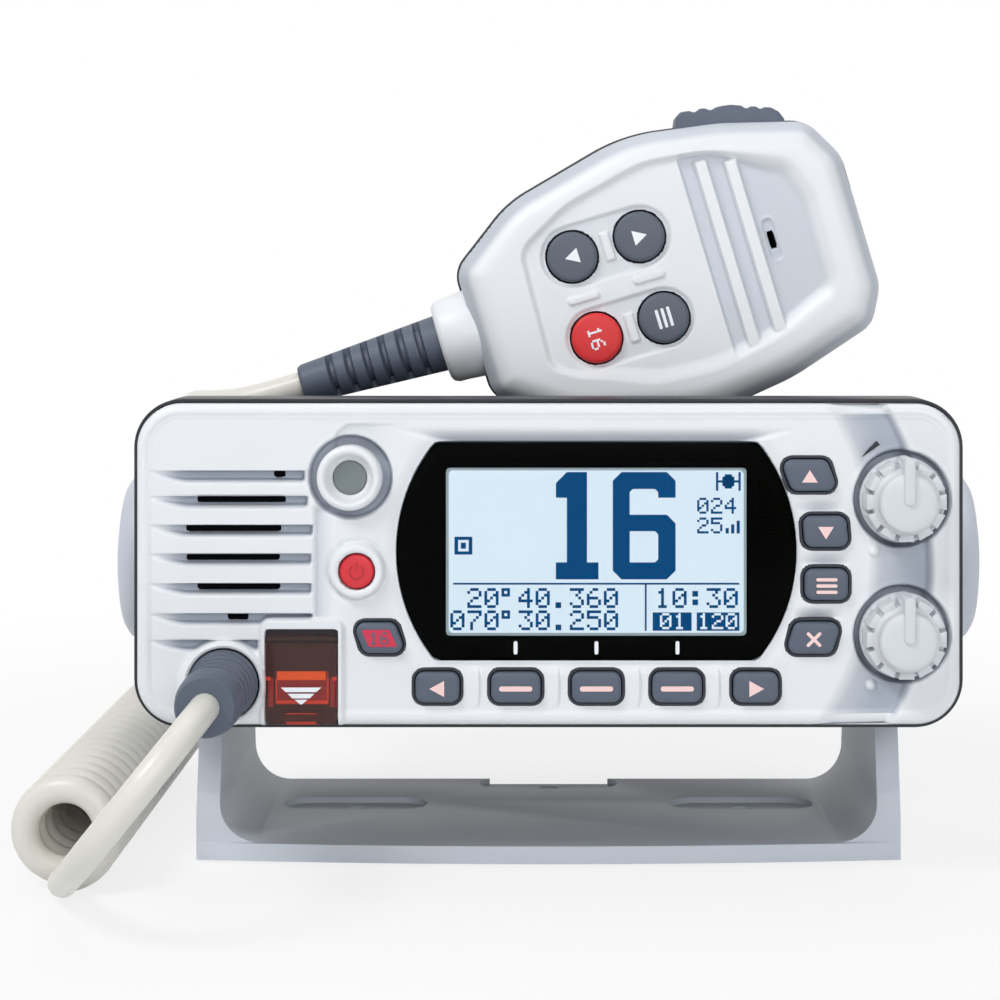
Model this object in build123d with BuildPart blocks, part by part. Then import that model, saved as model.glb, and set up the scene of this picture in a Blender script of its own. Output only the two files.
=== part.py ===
"""Fixed-mount VHF marine radio with its U bracket and hand microphone.

Millimetres, +Z up, the user looks along +Y. The origin is on the ground under the tilt axis,
midway between the two arms of the bracket.
"""

from build123d import *
from math import atan2, cos, degrees, pi, radians, sin, tan
import os

os.makedirs("parts", exist_ok=True)

# ---------------------------------------------------------------- driving dimensions
FIT = 0.15            # gap between pieces of one body that slip together
MOVE_GAP = 0.30       # gap round a piece that moves
SHAFT_GAP = 0.05      # radial running clearance of a shaft
SHEET_GAP = 0.10      # gap between stacked flat pieces
PIN_GAP = 0.02        # radial gap of a pin in its seat

# front panel
PANEL_W = 179.2
PANEL_H = 69.9
PANEL_R = 9.6
PANEL_EDGE_R = 1.8
PANEL_WALL = 3.6
PANEL_FACE_Y = -58.0  # front face of the panel
PIVOT_Z = 65.3        # height of the tilt axis
PANEL_RISE = 5.1      # middle of the panel above the tilt axis
SKIRT_INSET = 2.2     # skirt behind the panel, in from the outline
SKIRT_T = 2.0
SKIRT_END = 12.0      # depth of the skirt's end behind the face
SURROUND_LIP = 0.9    # how far the surround shows round the panel
SURROUND_FRONT = 3.0
SURROUND_BACK = 18.0
SURROUND_LEDGE = 1.4
SURROUND_WALL_BACK = 2.5
SURROUND_CHAMFER = 1.5
BOSS_R = 3.2
SCREW_R = 1.4
SCREW_HEAD_R = 2.7
SCREW_HEAD_T = 1.9
SCREW_L = 9.5
SCREW_HOLE_L = 8.0
SCREW_INSET_X = 7.6   # panel screws, in from the panel's ends and edges
SCREW_INSET_Z = 8.45

# chassis
CHASSIS_INSET_X = 15.6  # its sides, in from the panel's ends
CHASSIS_INSET_Z = 6.2   # its top and bottom, in from the panel's edges
CHASSIS_R = 4.0
CHASSIS_INNER_R = 3.0
CHASSIS_DROP = 0.7    # its middle below the panel's middle
CHASSIS_WALL = 2.5
CHASSIS_REAR_WALL = 4.0
CHASSIS_BACK = 130.0  # depth of its rear face behind the panel's face
FLANGE_GROW = 2.0
FLANGE_T = 2.6
FIN_PITCH = 5.2
FIN_GAP = 2.6
FIN_DEPTH = 1.3
FIN_START = 76.0      # depth behind the panel's face where the fins begin
INSERT_R = 5.0
INSERT_L = 12.0
INSERT_BOSS_R = 8.0
INSERT_END_GAP = 1.0  # the insert's end, in from the chassis side
STUD_R = 3.0
STUD_REACH = 9.0      # how far a knob's stud goes into the chassis
BOARD_INSET = 14.0    # main board, in from the chassis sides
BOARD_FRONT = 28.0    # its front edge, behind the panel's face
BOARD_REAR = 16.0     # its rear edge, in front of the chassis' rear face
BOARD_LIFT = 8.0      # its height above the chassis floor
BOARD_T = 1.6
POST_R = 3.0
POST_INSET = 5.0
SHIELD_W, SHIELD_D, SHIELD_H = 52.0, 46.0, 7.0
SHIELD_X, SHIELD_BEHIND = 24.0, 6.0
CAPACITOR_R, CAPACITOR_H = 5.0, 14.0
CAPACITOR_XS, CAPACITOR_BEHIND = (-34.0, -48.0), 22.0
CHIP_W, CHIP_H = 22.0, 2.0
CHIP_X, CHIP_BEFORE = -32.0, 14.0

# bracket
ARM_SPACE = 1.0       # space between the chassis and each arm, where the washer sits
ARM_T = 5.3           # thickness of each arm
BASE_T = 4.0          # thickness of the base
BASE_HALF_Y = 33.0    # half the depth of the base at its ends
BASE_BULGE = 4.0      # how far the middle of the front edge stands forward
LIP_Z = 10.0          # height of the upright front lip at the arms
ARM_TOP_R = 19.0      # radius of the rounded top of each arm
BEND_R = 9.0          # inside radius between base and arm
POCKET_INSET = 27.9   # middle of the side pockets, in from the arms
POCKET_Y = 5.8
REAR_POCKET_Y = 28.0
POCKET_L = 35.0
POCKET_W = 12.7
POCKET_DEPTH = 1.4
MOUNT_HOLE_R = 2.6    # holes for the mounting screws
WASHER_R = 11.0

# display: the window fills what the fields round it leave
LEFT_FIELD = 56.5     # grille, boot and distress cover, left of the window
RIGHT_FIELD = 35.7    # side keys and knobs, right of the window
TOP_FIELD = 8.35
LOW_FIELD = 14.15     # row of keys below the window
WINDOW_TAPER = 17.0   # how much shorter its straight top and bottom are than its widest
WINDOW_T = 1.8
WINDOW_CORNER_R = 3.0
WINDOW_CHAMFER = 0.4
MASK_T = 0.3
MASK_CORNER_R = 1.0
LCD_BORDER_X = 21.5   # how much narrower and lower the lit area is than the window
LCD_BORDER_Z = 10.8
LCD_DROP = 0.25       # its middle below the window's middle
LCD_FRAME = 3.0
LCD_T = 4.2

# ends and edges of the panel and middle of the window, from the panel's middle
LEFT, RIGHT = -PANEL_W / 2, PANEL_W / 2
LOW, TOP = -PANEL_H / 2, PANEL_H / 2
WINDOW_W = PANEL_W - LEFT_FIELD - RIGHT_FIELD   # at the widest, across the bulging sides
WINDOW_H = PANEL_H - TOP_FIELD - LOW_FIELD
WINDOW_TOP_W = WINDOW_W - WINDOW_TAPER
WINDOW_X = (LEFT_FIELD - RIGHT_FIELD) / 2
WINDOW_Z = (LOW_FIELD - TOP_FIELD) / 2
LCD_W, LCD_H, LCD_Z = WINDOW_W - LCD_BORDER_X, WINDOW_H - LCD_BORDER_Z, WINDOW_Z - LCD_DROP
SCREW_X, SCREW_Z = RIGHT - SCREW_INSET_X, TOP - SCREW_INSET_Z
PANEL_MID_Z = PIVOT_Z + PANEL_RISE
CHASSIS_W, CHASSIS_H = PANEL_W - 2 * CHASSIS_INSET_X, PANEL_H - 2 * CHASSIS_INSET_Z

# louvres of the speaker grille, and the speaker behind them
LOUVRE_LEFT = LEFT + 2.0
LOUVRE_RIGHT = LEFT + 38.2
LOUVRE_TOP_Z = TOP - 14.75
LOUVRE_PITCH = 6.3
LOUVRE_GAP = 3.7
LOUVRE_DEPTH = 2.2
LOUVRE_COUNT = 6
LOUVRE_END = 2.0      # run of a groove's steep right end
LOUVRE_KNEE = 18.0    # where its ramp flattens, from the right end
LOUVRE_KNEE_SHARE = 0.75
SLOT_H = 1.5
SLOT_RIGHT = LEFT + 31.0
SLOT_LENGTHS = (2.6, 19.4, 20.8, 20.4, 18.2, 4.6)
SLOT_SHIFTS = (0.0, 0.0, 0.0, 0.0, 0.0, -7.0)
SPEAKER_X, SPEAKER_Z = LEFT + 20.0, 3.5
SPEAKER_R = 14.5
BASKET_T = 2.0
BASKET_RIM = 1.0
BASKET_DEPTH, BASKET_TAPER = 3.0, 35.0
CONE_RIM = 2.5
CONE_DEPTH, CONE_TAPER = 1.6, 30.0
MAGNET_R, MAGNET_T, MAGNET_IN = 8.5, 3.2, 1.0
SCREEN_W, SCREEN_H, SCREEN_R = 30.0, 35.0, 2.0
SCREEN_T = 0.4

# controls on the panel: x and z of the middle, from the middle of the panel
HANGER_X, HANGER_Z = LEFT + 46.5, TOP - 15.95
HANGER_MOAT_R = 9.2
HANGER_R = 7.1
HANGER_DISH_R = 5.6
HANGER_PLUG_R = 3.6
HANGER_PLUG_T = 1.7
HANGER_PLUG_PROUD = 0.6
HANGER_FLOOR = 0.4    # floor of the dish, proud of the panel
HANGER_PROUD = 3.2
HANGER_TAPER = 30.0
MOAT_DEPTH = 1.6
POWER_X, POWER_Z = LEFT + 48.0, -1.3
POWER_R = 3.76
POWER_RING_R = 6.06
POWER_RING_PROUD = 1.6
POWER_SUNK = 0.3      # the button's face below the ring
KNOB_X = RIGHT - 12.7
KNOB_ZS = {"volume": 14.2, "squelch": -15.3}
KNOB_MOAT_R = 10.7
KNOB_FLANGE_R = 9.3
KNOB_FLANGE_PROUD = 2.2
KNOB_DRUM_R = 7.4
KNOB_DRUM_PROUD = 7.4
KNOB_CAP_R = 6.4
KNOB_PROUD = 10.2
KNOB_WALL = 3.0       # cap above the shaft's end
KNOB_TEETH = 12
KNOB_TOOTH_W = 2.2
KNOB_TOOTH_L = 2.4
KNOB_TOOTH_H = 4.2
KNOB_TOOTH_IN = 1.4    # middle of a tooth, in from the flange's edge
POINTER_W, POINTER_IN, POINTER_R = 2.4, 0.2, 0.8
POINTER_PROUD = 0.8
PIP_R = 1.2
PIP_PROUD = 1.2
PIPS = ((KNOB_X - 6.0, 2.9), (KNOB_X - 6.7, -26.5))
KEY_PROUD = 1.3
KEY_TRAVEL = 1.0
KEY_RIM = 0.9         # width of the recessed ring round each key
KEY_RIM_DEPTH = 0.8
KEY_FLANGE = 0.7
KEY_FLANGE_T = 1.2
KEY_R = 1.9
KEY_EDGE_R = 0.6
SOFT_PITCH = WINDOW_TOP_W / 4
SOFT_Z = LOW + 8.45
LOW_KEY_Z = LOW + 19.15   # channel and clear keys
# name: x, z, width, height, lean of the slanted sides
KEYS = {
    "channel_key": (LEFT + 52.9, LOW_KEY_Z, 9.2, 6.6, 2.6),
    "soft_key_left": (WINDOW_X - 2 * SOFT_PITCH + 0.5, SOFT_Z, 9.5, 6.6, 0.0),
    "soft_key_1": (WINDOW_X - SOFT_PITCH, SOFT_Z, 10.7, 6.6, 0.0),
    "soft_key_2": (WINDOW_X, SOFT_Z, 10.7, 6.6, 0.0),
    "soft_key_3": (WINDOW_X + SOFT_PITCH, SOFT_Z, 10.7, 6.6, 0.0),
    "soft_key_right": (WINDOW_X + 2 * SOFT_PITCH - 0.4, SOFT_Z, 9.7, 6.6, 0.0),
    "up_key": (RIGHT - 33.0, TOP - 15.45, 10.2, 6.8, 2.6),
    "down_key": (RIGHT - 29.5, 7.3, 9.5, 6.8, 0.6),
    "menu_key": (RIGHT - 29.3, -4.2, 9.4, 6.8, 0.0),
    "clear_key": (RIGHT - 32.1, LOW_KEY_Z, 10.2, 6.8, -2.2),
}
RIDGE_W, RIDGE_H, RIDGE_PROUD = 2.9, 8.4, 0.5   # creases between the keys of the lower row
MAT_FRONT = 6.2
MAT_SHEET = 7.2
MAT_BACK = 8.9
MAT_LEFT, MAT_RIGHT, MAT_LOW, MAT_TOP = LEFT + 43.6, RIGHT - 23.6, LOW + 4.65, TOP - 7.25
MAT_PAD_R = 2.2
MAT_LCD_GAP = 1.0
FRONT_BOARD_LEFT, FRONT_BOARD_RIGHT = LEFT + 33.6, RIGHT - 6.6
FRONT_BOARD_LOW, FRONT_BOARD_TOP = LOW + 4.45, TOP - 7.45
FRONT_BOARD_R = 6.0
ENCODER_W = 11.5
ENCODER_BUSH_R = 4.2
ENCODER_BUSH_SUNK = 0.6   # the bush's end behind the panel's face
ENCODER_FLOOR = 1.0
SHAFT_R = 3.0
SHAFT_END_GAP = 0.2   # room above the shaft's end in the knob

# distress cover and the key under it
COVER_X, COVER_LOW = LEFT + 36.0, LOW + 0.45
COVER_H = 19.3
COVER_W = 15.4
COVER_T = 1.5
COVER_R = 1.2
COVER_PROUD = 1.2
COVER_LIP_Z = 1.2     # pull lip, above the cover's lower edge
COVER_LIP_W, COVER_LIP_H, COVER_LIP_PROUD = 7.7, 1.2, 0.9
COVER_PIN_IN = 1.2    # pin, below the cover's upper edge
COVER_PIN_DEPTH = 0.9
COVER_PIN_R = 0.75
COVER_PIN_GRIP = 1.4  # length held in the panel at each end
COVER_BARREL_R = 1.7
COVER_BARREL_IN = 0.3
COVER_FRAME = 2.3
COVER_FRAME_R = 2.0
COVER_FRAME_PROUD = 0.8
COVER_SEAT = 1.2      # ledges under the cover's sides and its lower edge
COVER_SEAT_LOW = 3.2
COVER_SEAT_DEPTH = 2.7
COVER_WELL = 5.6
COVER_FLOOR = 1.5     # thickness of the well's floor
BARREL_ROOM = 0.9     # room round the barrel
BARREL_ROOM_DEPTH = 0.5
DISTRESS_KEY_W, DISTRESS_KEY_H, DISTRESS_KEY_R = 8.6, 6.4, 1.2
DISTRESS_KEY_UP = 8.5   # its middle, above the cover's lower edge
DISTRESS_KEY_PROUD = 3.0
DISTRESS_KEY_GAP = 0.2
DISTRESS_STEM = 4.0

# cord boot on the panel
CORD_D = 6.2
BOOT_X, BOOT_Z = LEFT + 19.1, LOW + 9.15
BOOT_BASE_R = 7.4
BOOT_END_R = 5.9
BOOT_L = 28.0
BOOT_RINGS = 4
BOOT_RING_START, BOOT_RING_PITCH, BOOT_RING_GAP, BOOT_RING_DEPTH = 6.0, 4.6, 1.3, 1.0
BOOT_NECK_R = 3.8
BOOT_NECK_L = 1.6     # neck behind the panel
BOOT_SHOULDER = 0.9
BOOT_SHOULDER_T = 1.5
COLLAR_R = 8.4
COLLAR_PROUD = 1.0

# bracket knobs
HAND_KNOB_R = 20.6
HAND_KNOB_T = 22.9
HAND_KNOB_GAP = 0.4
HAND_KNOB_HUB_IN = 7.0
HAND_KNOB_HUB_L = 3.0
HAND_KNOB_FLUTES = 13
HAND_KNOB_FLUTE_R = 2.6
HAND_KNOB_FLUTE_OUT = 1.0
HAND_KNOB_FLUTE_L = 11.0
HAND_KNOB_EDGE_R = 5.0
HAND_KNOB_STUD_IN = 12.0
STUD_END_GAP = 0.5    # room past the stud's end in the knob

# rear connectors
CONNECTOR_INSET = 24.0   # outer connectors, in from the chassis sides
SOCKET_X, SOCKET_Z = CHASSIS_W / 2 - CONNECTOR_INSET, -6.0
SOCKET_R = 7.94
SOCKET_L = 12.0
SOCKET_BORE_R = 6.2
SOCKET_STEP = 1.0      # how much narrower the hole in the chassis is
SOCKET_FLANGE = 25.4
SOCKET_FLANGE_R = 2.0
SOCKET_FLANGE_T = 2.0
INSULATOR_R, INSULATOR_BORE_R, INSULATOR_L = 3.4, 2.0, 8.0
GLAND_PITCH = 26.0
GLAND_XS = (CONNECTOR_INSET - CHASSIS_W / 2, CONNECTOR_INSET - CHASSIS_W / 2 + GLAND_PITCH)
GLAND_R = 6.5
GLAND_L = 9.0
GLAND_TAPER = 8.0
GLAND_STEP = 2.0      # how much thinner it is in the wall
GLAND_BORE_R = 2.6

# hand microphone, drawn flat from its neck: u along it, w across it
MIC_X = -24.7
MIC_RISE = 12.15      # its neck, above the panel's top edge
MIC_Y = -18.0
MIC_TURN = 16.8
MIC_L = 100.5
MIC_NECK_R = 10.0
MIC_NECK_L = 7.0
MIC_NECK_IN = 4.0     # how far the neck runs into the front shell
MIC_NECK_REAR_IN = 5.0
MIC_NECK_DEEPER = 2.0 # its bore, past the neck's end
MIC_FRONT_T = 14.5
MIC_REAR_T = 16.5
MIC_REAR_GROW = 0.5
MIC_TAPER = 14.0
MIC_WALL = 2.2
MIC_EDGE_R = 3.0
MIC_REAR_EDGE_R = 4.0
MIC_FACE_INSET = 9.0  # dished face, in from the outline
MIC_DISH, MIC_DISH_TAPER = 2.2, 30.0
MIC_KEY_R = 5.75
MIC_KEY_US = (34.6, 50.7)
MIC_KEY_WS = (10.4, -9.0)
MIC_KEY_PROUD = 1.2
MIC_KEY_DEPTH = 4.6
MIC_KEY_FLANGE = 0.8
MIC_KEY_FLANGE_T = 1.2
MIC_KEY_STEM_R = 2.5
MIC_PLATEAU_U, MIC_PLATEAU_W = 42.5, 0.5
MIC_PLATEAU_L, MIC_PLATEAU_H, MIC_PLATEAU_R, MIC_PLATEAU_PROUD = 34.0, 36.0, 5.0, 1.0
# ribs across the face: distance from the tip, length
MIC_RIBS = ((34.5, 42.0), (27.5, 40.0))
MIC_RIB_W, MIC_RIB_PROUD = 2.2, 1.8
MIC_SLOT_IN, MIC_SLOT_W = 19.6, 0.7     # sound slot: from the tip, and across
MIC_SLOT_SIZE, MIC_SLOT_R = (1.6, 4.2), 0.7
MIC_CAPSULE_R, MIC_CAPSULE_L = 4.8, 5.0
MIC_BOARD_DEPTH = -3.0   # back face of its board, behind the parting line
MIC_BOARD_START, MIC_BOARD_IN, MIC_BOARD_H, MIC_BOARD_R = 21.0, 25.5, 38.0, 3.0
MIC_POST_GRID, MIC_POST_R = (40.0, 26.0), 2.2
PTT_IN, PTT_W = 21.3, 29.2   # middle of the bar: from the tip, and across
PTT_TURN = -15.2
PTT_L = 26.0
PTT_DEPTH = 12.0
PTT_PROUD = 5.0
PTT_SUNK = 4.0        # how far the bar goes into the edge
PTT_OUT = 8.0         # how far its slot is cut outwards
PTT_TRAVEL = 1.5
PTT_RIDGES, PTT_RIDGE_PITCH, PTT_RIDGE_R, PTT_RIDGE_PROUD = 5, 4.6, 1.6, 1.0
MIC_BOOT_R = 6.6
MIC_BOOT_END_R = 4.6
MIC_BOOT_L = 34.4
MIC_BOOT_PLUG_GROW = 0.4
MIC_BOOT_RINGS = 5
MIC_BOOT_RING_START, MIC_BOOT_RING_PITCH, MIC_BOOT_RING_GAP = 9.0, 4.4, 1.7
MIC_BOOT_RING_DEPTH = 1.7
HOOK_U = 56.0
HOOK_R = 7.0
HOOK_L = 8.0
HOOK_CAP_T = 3.0
HOOK_STEM_IN = 2.5
MIC_SCREW_R, MIC_SCREW_T = 2.4, 0.8

# curly cord, coiled on the ground beside the radio
COIL_X, COIL_Z = -104.8, 12.4
COIL_R = 12.4
COIL_FRONT_Y = -58.0
COIL_L = 130.0


# ---------------------------------------------------------------- planes and outlines
def panel_plane(depth):
    """Plane parallel to the panel's face, depth behind it, looking out at the user."""
    return Plane(origin=(0, PANEL_FACE_Y + depth, PANEL_MID_Z), x_dir=(1, 0, 0), z_dir=(0, -1, 0))


MIC_Z = PANEL_MID_Z + TOP + MIC_RISE
MIC_ALONG = Vector(cos(radians(MIC_TURN)), 0, sin(radians(MIC_TURN)))


def mic_plane(depth):
    """Plane of the microphone's parting line, moved depth towards its back."""
    return Plane(origin=(MIC_X, MIC_Y + depth, MIC_Z), x_dir=MIC_ALONG, z_dir=(0, -1, 0))


def neck_plane(along=0.0):
    """Plane across the microphone's neck, so far along it."""
    start = Vector(MIC_X, MIC_Y, MIC_Z) + MIC_ALONG * along
    return Plane(origin=start, x_dir=(0, 1, 0), z_dir=MIC_ALONG)


def key_outline(x, z, width, height, lean, grow=0.0):
    """A key's outline: a box whose sides lean, grown all round."""
    half_w = width / 2 + grow
    half_h = height / 2 + grow
    shift = lean / 2
    corners = [
        (-half_w - shift, half_h),
        (half_w - shift, half_h),
        (half_w + shift, -half_h),
        (-half_w + shift, -half_h),
    ]
    with BuildSketch(Plane.XY) as outline:
        with Locations((x, z)):
            Polygon(*corners, align=None)
        fillet(outline.vertices(), KEY_R + grow)
    return outline.sketch


def window_outline(grow=0.0):
    """The display window: flat top and bottom, bulging sides."""
    half_top = WINDOW_TOP_W / 2 + grow
    half_h = WINDOW_H / 2 + grow
    half_w = WINDOW_W / 2 + grow
    with BuildSketch(Plane.XY) as outline:
        with BuildLine(Plane.XY.offset(0)):
            Line((-half_top, half_h), (half_top, half_h))
            ThreePointArc((half_top, half_h), (half_w, 0), (half_top, -half_h))
            Line((half_top, -half_h), (-half_top, -half_h))
            ThreePointArc((-half_top, -half_h), (-half_w, 0), (-half_top, half_h))
        make_face()
        fillet(outline.vertices(), WINDOW_CORNER_R)
    return outline.sketch.moved(Location((WINDOW_X, WINDOW_Z, 0)))


# ---------------------------------------------------------------- bracket
ARM_INNER = CHASSIS_W / 2 + ARM_SPACE
ARM_OUTER = ARM_INNER + ARM_T
POCKET_X = ARM_INNER - POCKET_INSET
ARM_TOP_Z = PIVOT_Z + ARM_TOP_R


def bracket_gap():
    """The space between the arms, rounded where they meet the base."""
    with BuildSketch(Plane.XY) as gap:
        with Locations((0, BASE_T)):
            Rectangle(2 * ARM_INNER, ARM_TOP_Z, align=(Align.CENTER, Align.MIN))
        fillet(gap.vertices().group_by(Axis.Y)[0], BEND_R)
    return gap.sketch


def make_bracket():
    """U bracket: curved front edge, leaning arms, screw pockets in the base."""
    with BuildPart() as bracket:
        with BuildSketch(Plane.XZ):
            Rectangle(2 * ARM_OUTER, ARM_TOP_Z, align=(Align.CENTER, Align.MIN))
            add(bracket_gap(), mode=Mode.SUBTRACT)
        extrude(amount=BASE_HALF_Y + BASE_BULGE, both=True)
        with BuildSketch(Plane.YZ):
            with Locations((0, PIVOT_Z)):
                Circle(ARM_TOP_R)
            Rectangle(2 * BASE_HALF_Y, LIP_Z, align=(Align.CENTER, Align.MIN))
            make_hull()
            with Locations((-BASE_BULGE, 0)):
                Rectangle(2 * BASE_HALF_Y, BASE_T, align=(Align.CENTER, Align.MIN))
        extrude(amount=ARM_OUTER, both=True, mode=Mode.INTERSECT)
        with BuildSketch(Plane.XY):
            with BuildLine():
                Polyline((-ARM_OUTER, -BASE_HALF_Y), (-ARM_OUTER, BASE_HALF_Y),
                         (ARM_OUTER, BASE_HALF_Y), (ARM_OUTER, -BASE_HALF_Y))
                ThreePointArc((ARM_OUTER, -BASE_HALF_Y), (0, -BASE_HALF_Y - BASE_BULGE),
                              (-ARM_OUTER, -BASE_HALF_Y))
            make_face()
        extrude(amount=ARM_TOP_Z, mode=Mode.INTERSECT)
        with BuildSketch(Plane.XY.offset(BASE_T)):
            with Locations((-POCKET_X, POCKET_Y), (POCKET_X, POCKET_Y), (0, REAR_POCKET_Y)):
                SlotOverall(POCKET_L, POCKET_W)
        extrude(amount=-POCKET_DEPTH, mode=Mode.SUBTRACT)
        with Locations((-POCKET_X, POCKET_Y, BASE_T), (POCKET_X, POCKET_Y, BASE_T),
                       (0, REAR_POCKET_Y, BASE_T)):
            Hole(MOUNT_HOLE_R)
        with Locations((0, 0, PIVOT_Z)):
            Cylinder(STUD_R + MOVE_GAP, 2 * ARM_OUTER + 2, rotation=(0, 90, 0), mode=Mode.SUBTRACT)
    return bracket


# ---------------------------------------------------------------- front panel
COVER_HIGH = COVER_LOW + COVER_H
COVER_PIN_Z = COVER_HIGH - COVER_PIN_IN
DISTRESS_KEY_Z = COVER_LOW + DISTRESS_KEY_UP
WELL_TOP = COVER_PIN_Z + COVER_BARREL_R + BARREL_ROOM
WELL_W = COVER_W + 2 * MOVE_GAP
WELL_FRAME_W = WELL_W + 2 * COVER_FRAME


def make_front_panel():
    """White moulding with the louvred grille, key wells, knob moats and distress well."""
    with BuildPart() as panel:
        with BuildSketch(panel_plane(0)):
            RectangleRounded(PANEL_W, PANEL_H, PANEL_R)
        extrude(amount=-PANEL_WALL)
        fillet(panel.faces().sort_by(Axis.Y)[0].outer_wire().edges(), PANEL_EDGE_R)
        with BuildSketch(panel_plane(PANEL_WALL)):
            RectangleRounded(PANEL_W - 2 * SKIRT_INSET, PANEL_H - 2 * SKIRT_INSET, PANEL_R - SKIRT_INSET)
            inset = SKIRT_INSET + SKIRT_T
            RectangleRounded(PANEL_W - 2 * inset, PANEL_H - 2 * inset, PANEL_R - inset,
                             mode=Mode.SUBTRACT)
        extrude(amount=-(SKIRT_END - PANEL_WALL))
        with BuildSketch(panel_plane(PANEL_WALL)):
            with GridLocations(2 * SCREW_X, 2 * SCREW_Z, 2, 2):
                Circle(BOSS_R)
        extrude(amount=-(SURROUND_BACK - SURROUND_WALL_BACK - SHEET_GAP - PANEL_WALL))
        with BuildSketch(panel_plane(SURROUND_BACK - SURROUND_WALL_BACK - SHEET_GAP)):
            with GridLocations(2 * SCREW_X, 2 * SCREW_Z, 2, 2):
                Circle(SCREW_R)
        extrude(amount=SCREW_HOLE_L, mode=Mode.SUBTRACT)
        # raised forms: power ring, cord collar, pips, creases, frame and well of the distress cover
        with BuildSketch(panel_plane(0)):
            with Locations((POWER_X, POWER_Z)):
                Circle(POWER_RING_R)
        extrude(amount=POWER_RING_PROUD)
        with BuildSketch(panel_plane(0)):
            with Locations((BOOT_X, BOOT_Z)):
                Circle(COLLAR_R)
        extrude(amount=COLLAR_PROUD)
        with BuildSketch(panel_plane(0)):
            with Locations(*PIPS):
                Circle(PIP_R)
        extrude(amount=PIP_PROUD)
        for index in range(-2, 2):
            ridge_x = WINDOW_X + (index + 0.5) * SOFT_PITCH
            with BuildSketch(Plane.XY.offset(PANEL_MID_Z + SOFT_Z - RIDGE_H / 2)):
                Polygon((ridge_x - RIDGE_W / 2, PANEL_FACE_Y + RIDGE_PROUD),
                        (ridge_x + RIDGE_W / 2, PANEL_FACE_Y - RIDGE_PROUD),
                        (ridge_x + RIDGE_W / 2, PANEL_FACE_Y + RIDGE_PROUD), align=None)
            extrude(amount=RIDGE_H)
        frame_low = LOW + SKIRT_INSET
        frame_h = WELL_TOP + COVER_FRAME - frame_low
        with BuildSketch(panel_plane(0)):
            with Locations((COVER_X, frame_low + frame_h / 2)):
                RectangleRounded(WELL_FRAME_W, frame_h, COVER_FRAME_R)
        extrude(amount=COVER_FRAME_PROUD)
        with BuildSketch(panel_plane(PANEL_WALL)):
            with Locations((COVER_X, frame_low + frame_h / 2)):
                Rectangle(WELL_FRAME_W, frame_h)
        extrude(amount=-(COVER_WELL + COVER_FLOOR - PANEL_WALL))
        with BuildSketch(panel_plane(COVER_SEAT_DEPTH)):
            with Locations((COVER_X, WELL_TOP)):
                Rectangle(WELL_W, WELL_TOP - LOW + SKIRT_INSET, align=(Align.CENTER, Align.MAX))
        extrude(amount=COVER_SEAT_DEPTH + COVER_PROUD, mode=Mode.SUBTRACT)
        with BuildSketch(panel_plane(0)):
            with Locations((COVER_X, WELL_TOP)):
                Rectangle(COVER_W - 2 * COVER_SEAT, WELL_TOP - COVER_LOW - COVER_SEAT_LOW,
                          align=(Align.CENTER, Align.MAX))
        extrude(amount=-COVER_WELL, mode=Mode.SUBTRACT)
        with BuildSketch(panel_plane(COVER_WELL)):
            with Locations((COVER_X, DISTRESS_KEY_Z)):
                Rectangle(DISTRESS_STEM + 2 * MOVE_GAP, DISTRESS_STEM + 2 * MOVE_GAP)
        extrude(amount=-2 * COVER_FLOOR, mode=Mode.SUBTRACT)
        with BuildSketch(panel_plane(0)):
            with Locations((COVER_X, COVER_PIN_Z)):
                Rectangle(WELL_W, 2 * (COVER_BARREL_R + BARREL_ROOM))
        extrude(amount=-(COVER_PIN_DEPTH + COVER_BARREL_R + BARREL_ROOM_DEPTH), mode=Mode.SUBTRACT)
        with Locations((COVER_X, PANEL_FACE_Y + COVER_PIN_DEPTH, PANEL_MID_Z + COVER_PIN_Z)):
            Cylinder(COVER_PIN_R, COVER_W + 2 * (COVER_PIN_GRIP + SHEET_GAP), rotation=(0, 90, 0),
                     mode=Mode.SUBTRACT)
        # moats round the hanger stud and the knobs
        with BuildSketch(panel_plane(0)):
            with Locations((HANGER_X, HANGER_Z)):
                Circle(HANGER_MOAT_R)
            with Locations([(KNOB_X, z) for z in KNOB_ZS.values()]):
                Circle(KNOB_MOAT_R)
        extrude(amount=-MOAT_DEPTH, mode=Mode.SUBTRACT)
        # louvres: ramped grooves that deepen to the right, each with its sound slot
        for row in range(LOUVRE_COUNT):
            top = LOUVRE_TOP_Z + LOUVRE_GAP / 2 - row * LOUVRE_PITCH
            with BuildSketch(Plane.XY.offset(PANEL_MID_Z + top)):
                Polygon((LOUVRE_LEFT, PANEL_FACE_Y),
                        (LOUVRE_RIGHT, PANEL_FACE_Y),
                        (LOUVRE_RIGHT - LOUVRE_END, PANEL_FACE_Y + LOUVRE_DEPTH),
                        (LOUVRE_RIGHT - LOUVRE_KNEE, PANEL_FACE_Y + LOUVRE_DEPTH * LOUVRE_KNEE_SHARE),
                        align=None)
            extrude(amount=-LOUVRE_GAP, mode=Mode.SUBTRACT)
            slot_x = SLOT_RIGHT + SLOT_SHIFTS[row] - SLOT_LENGTHS[row] / 2
            with BuildSketch(panel_plane(0)):
                with Locations((slot_x, LOUVRE_TOP_Z - row * LOUVRE_PITCH)):
                    Rectangle(SLOT_LENGTHS[row], SLOT_H)
            extrude(amount=-PANEL_WALL, mode=Mode.SUBTRACT)
        # key wells and holes
        for x, z, width, height, lean in KEYS.values():
            with BuildSketch(panel_plane(0)):
                add(key_outline(x, z, width, height, lean, MOVE_GAP + KEY_RIM))
            extrude(amount=-KEY_RIM_DEPTH, mode=Mode.SUBTRACT)
            with BuildSketch(panel_plane(0)):
                add(key_outline(x, z, width, height, lean, MOVE_GAP))
            extrude(amount=-PANEL_WALL, mode=Mode.SUBTRACT)
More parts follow.
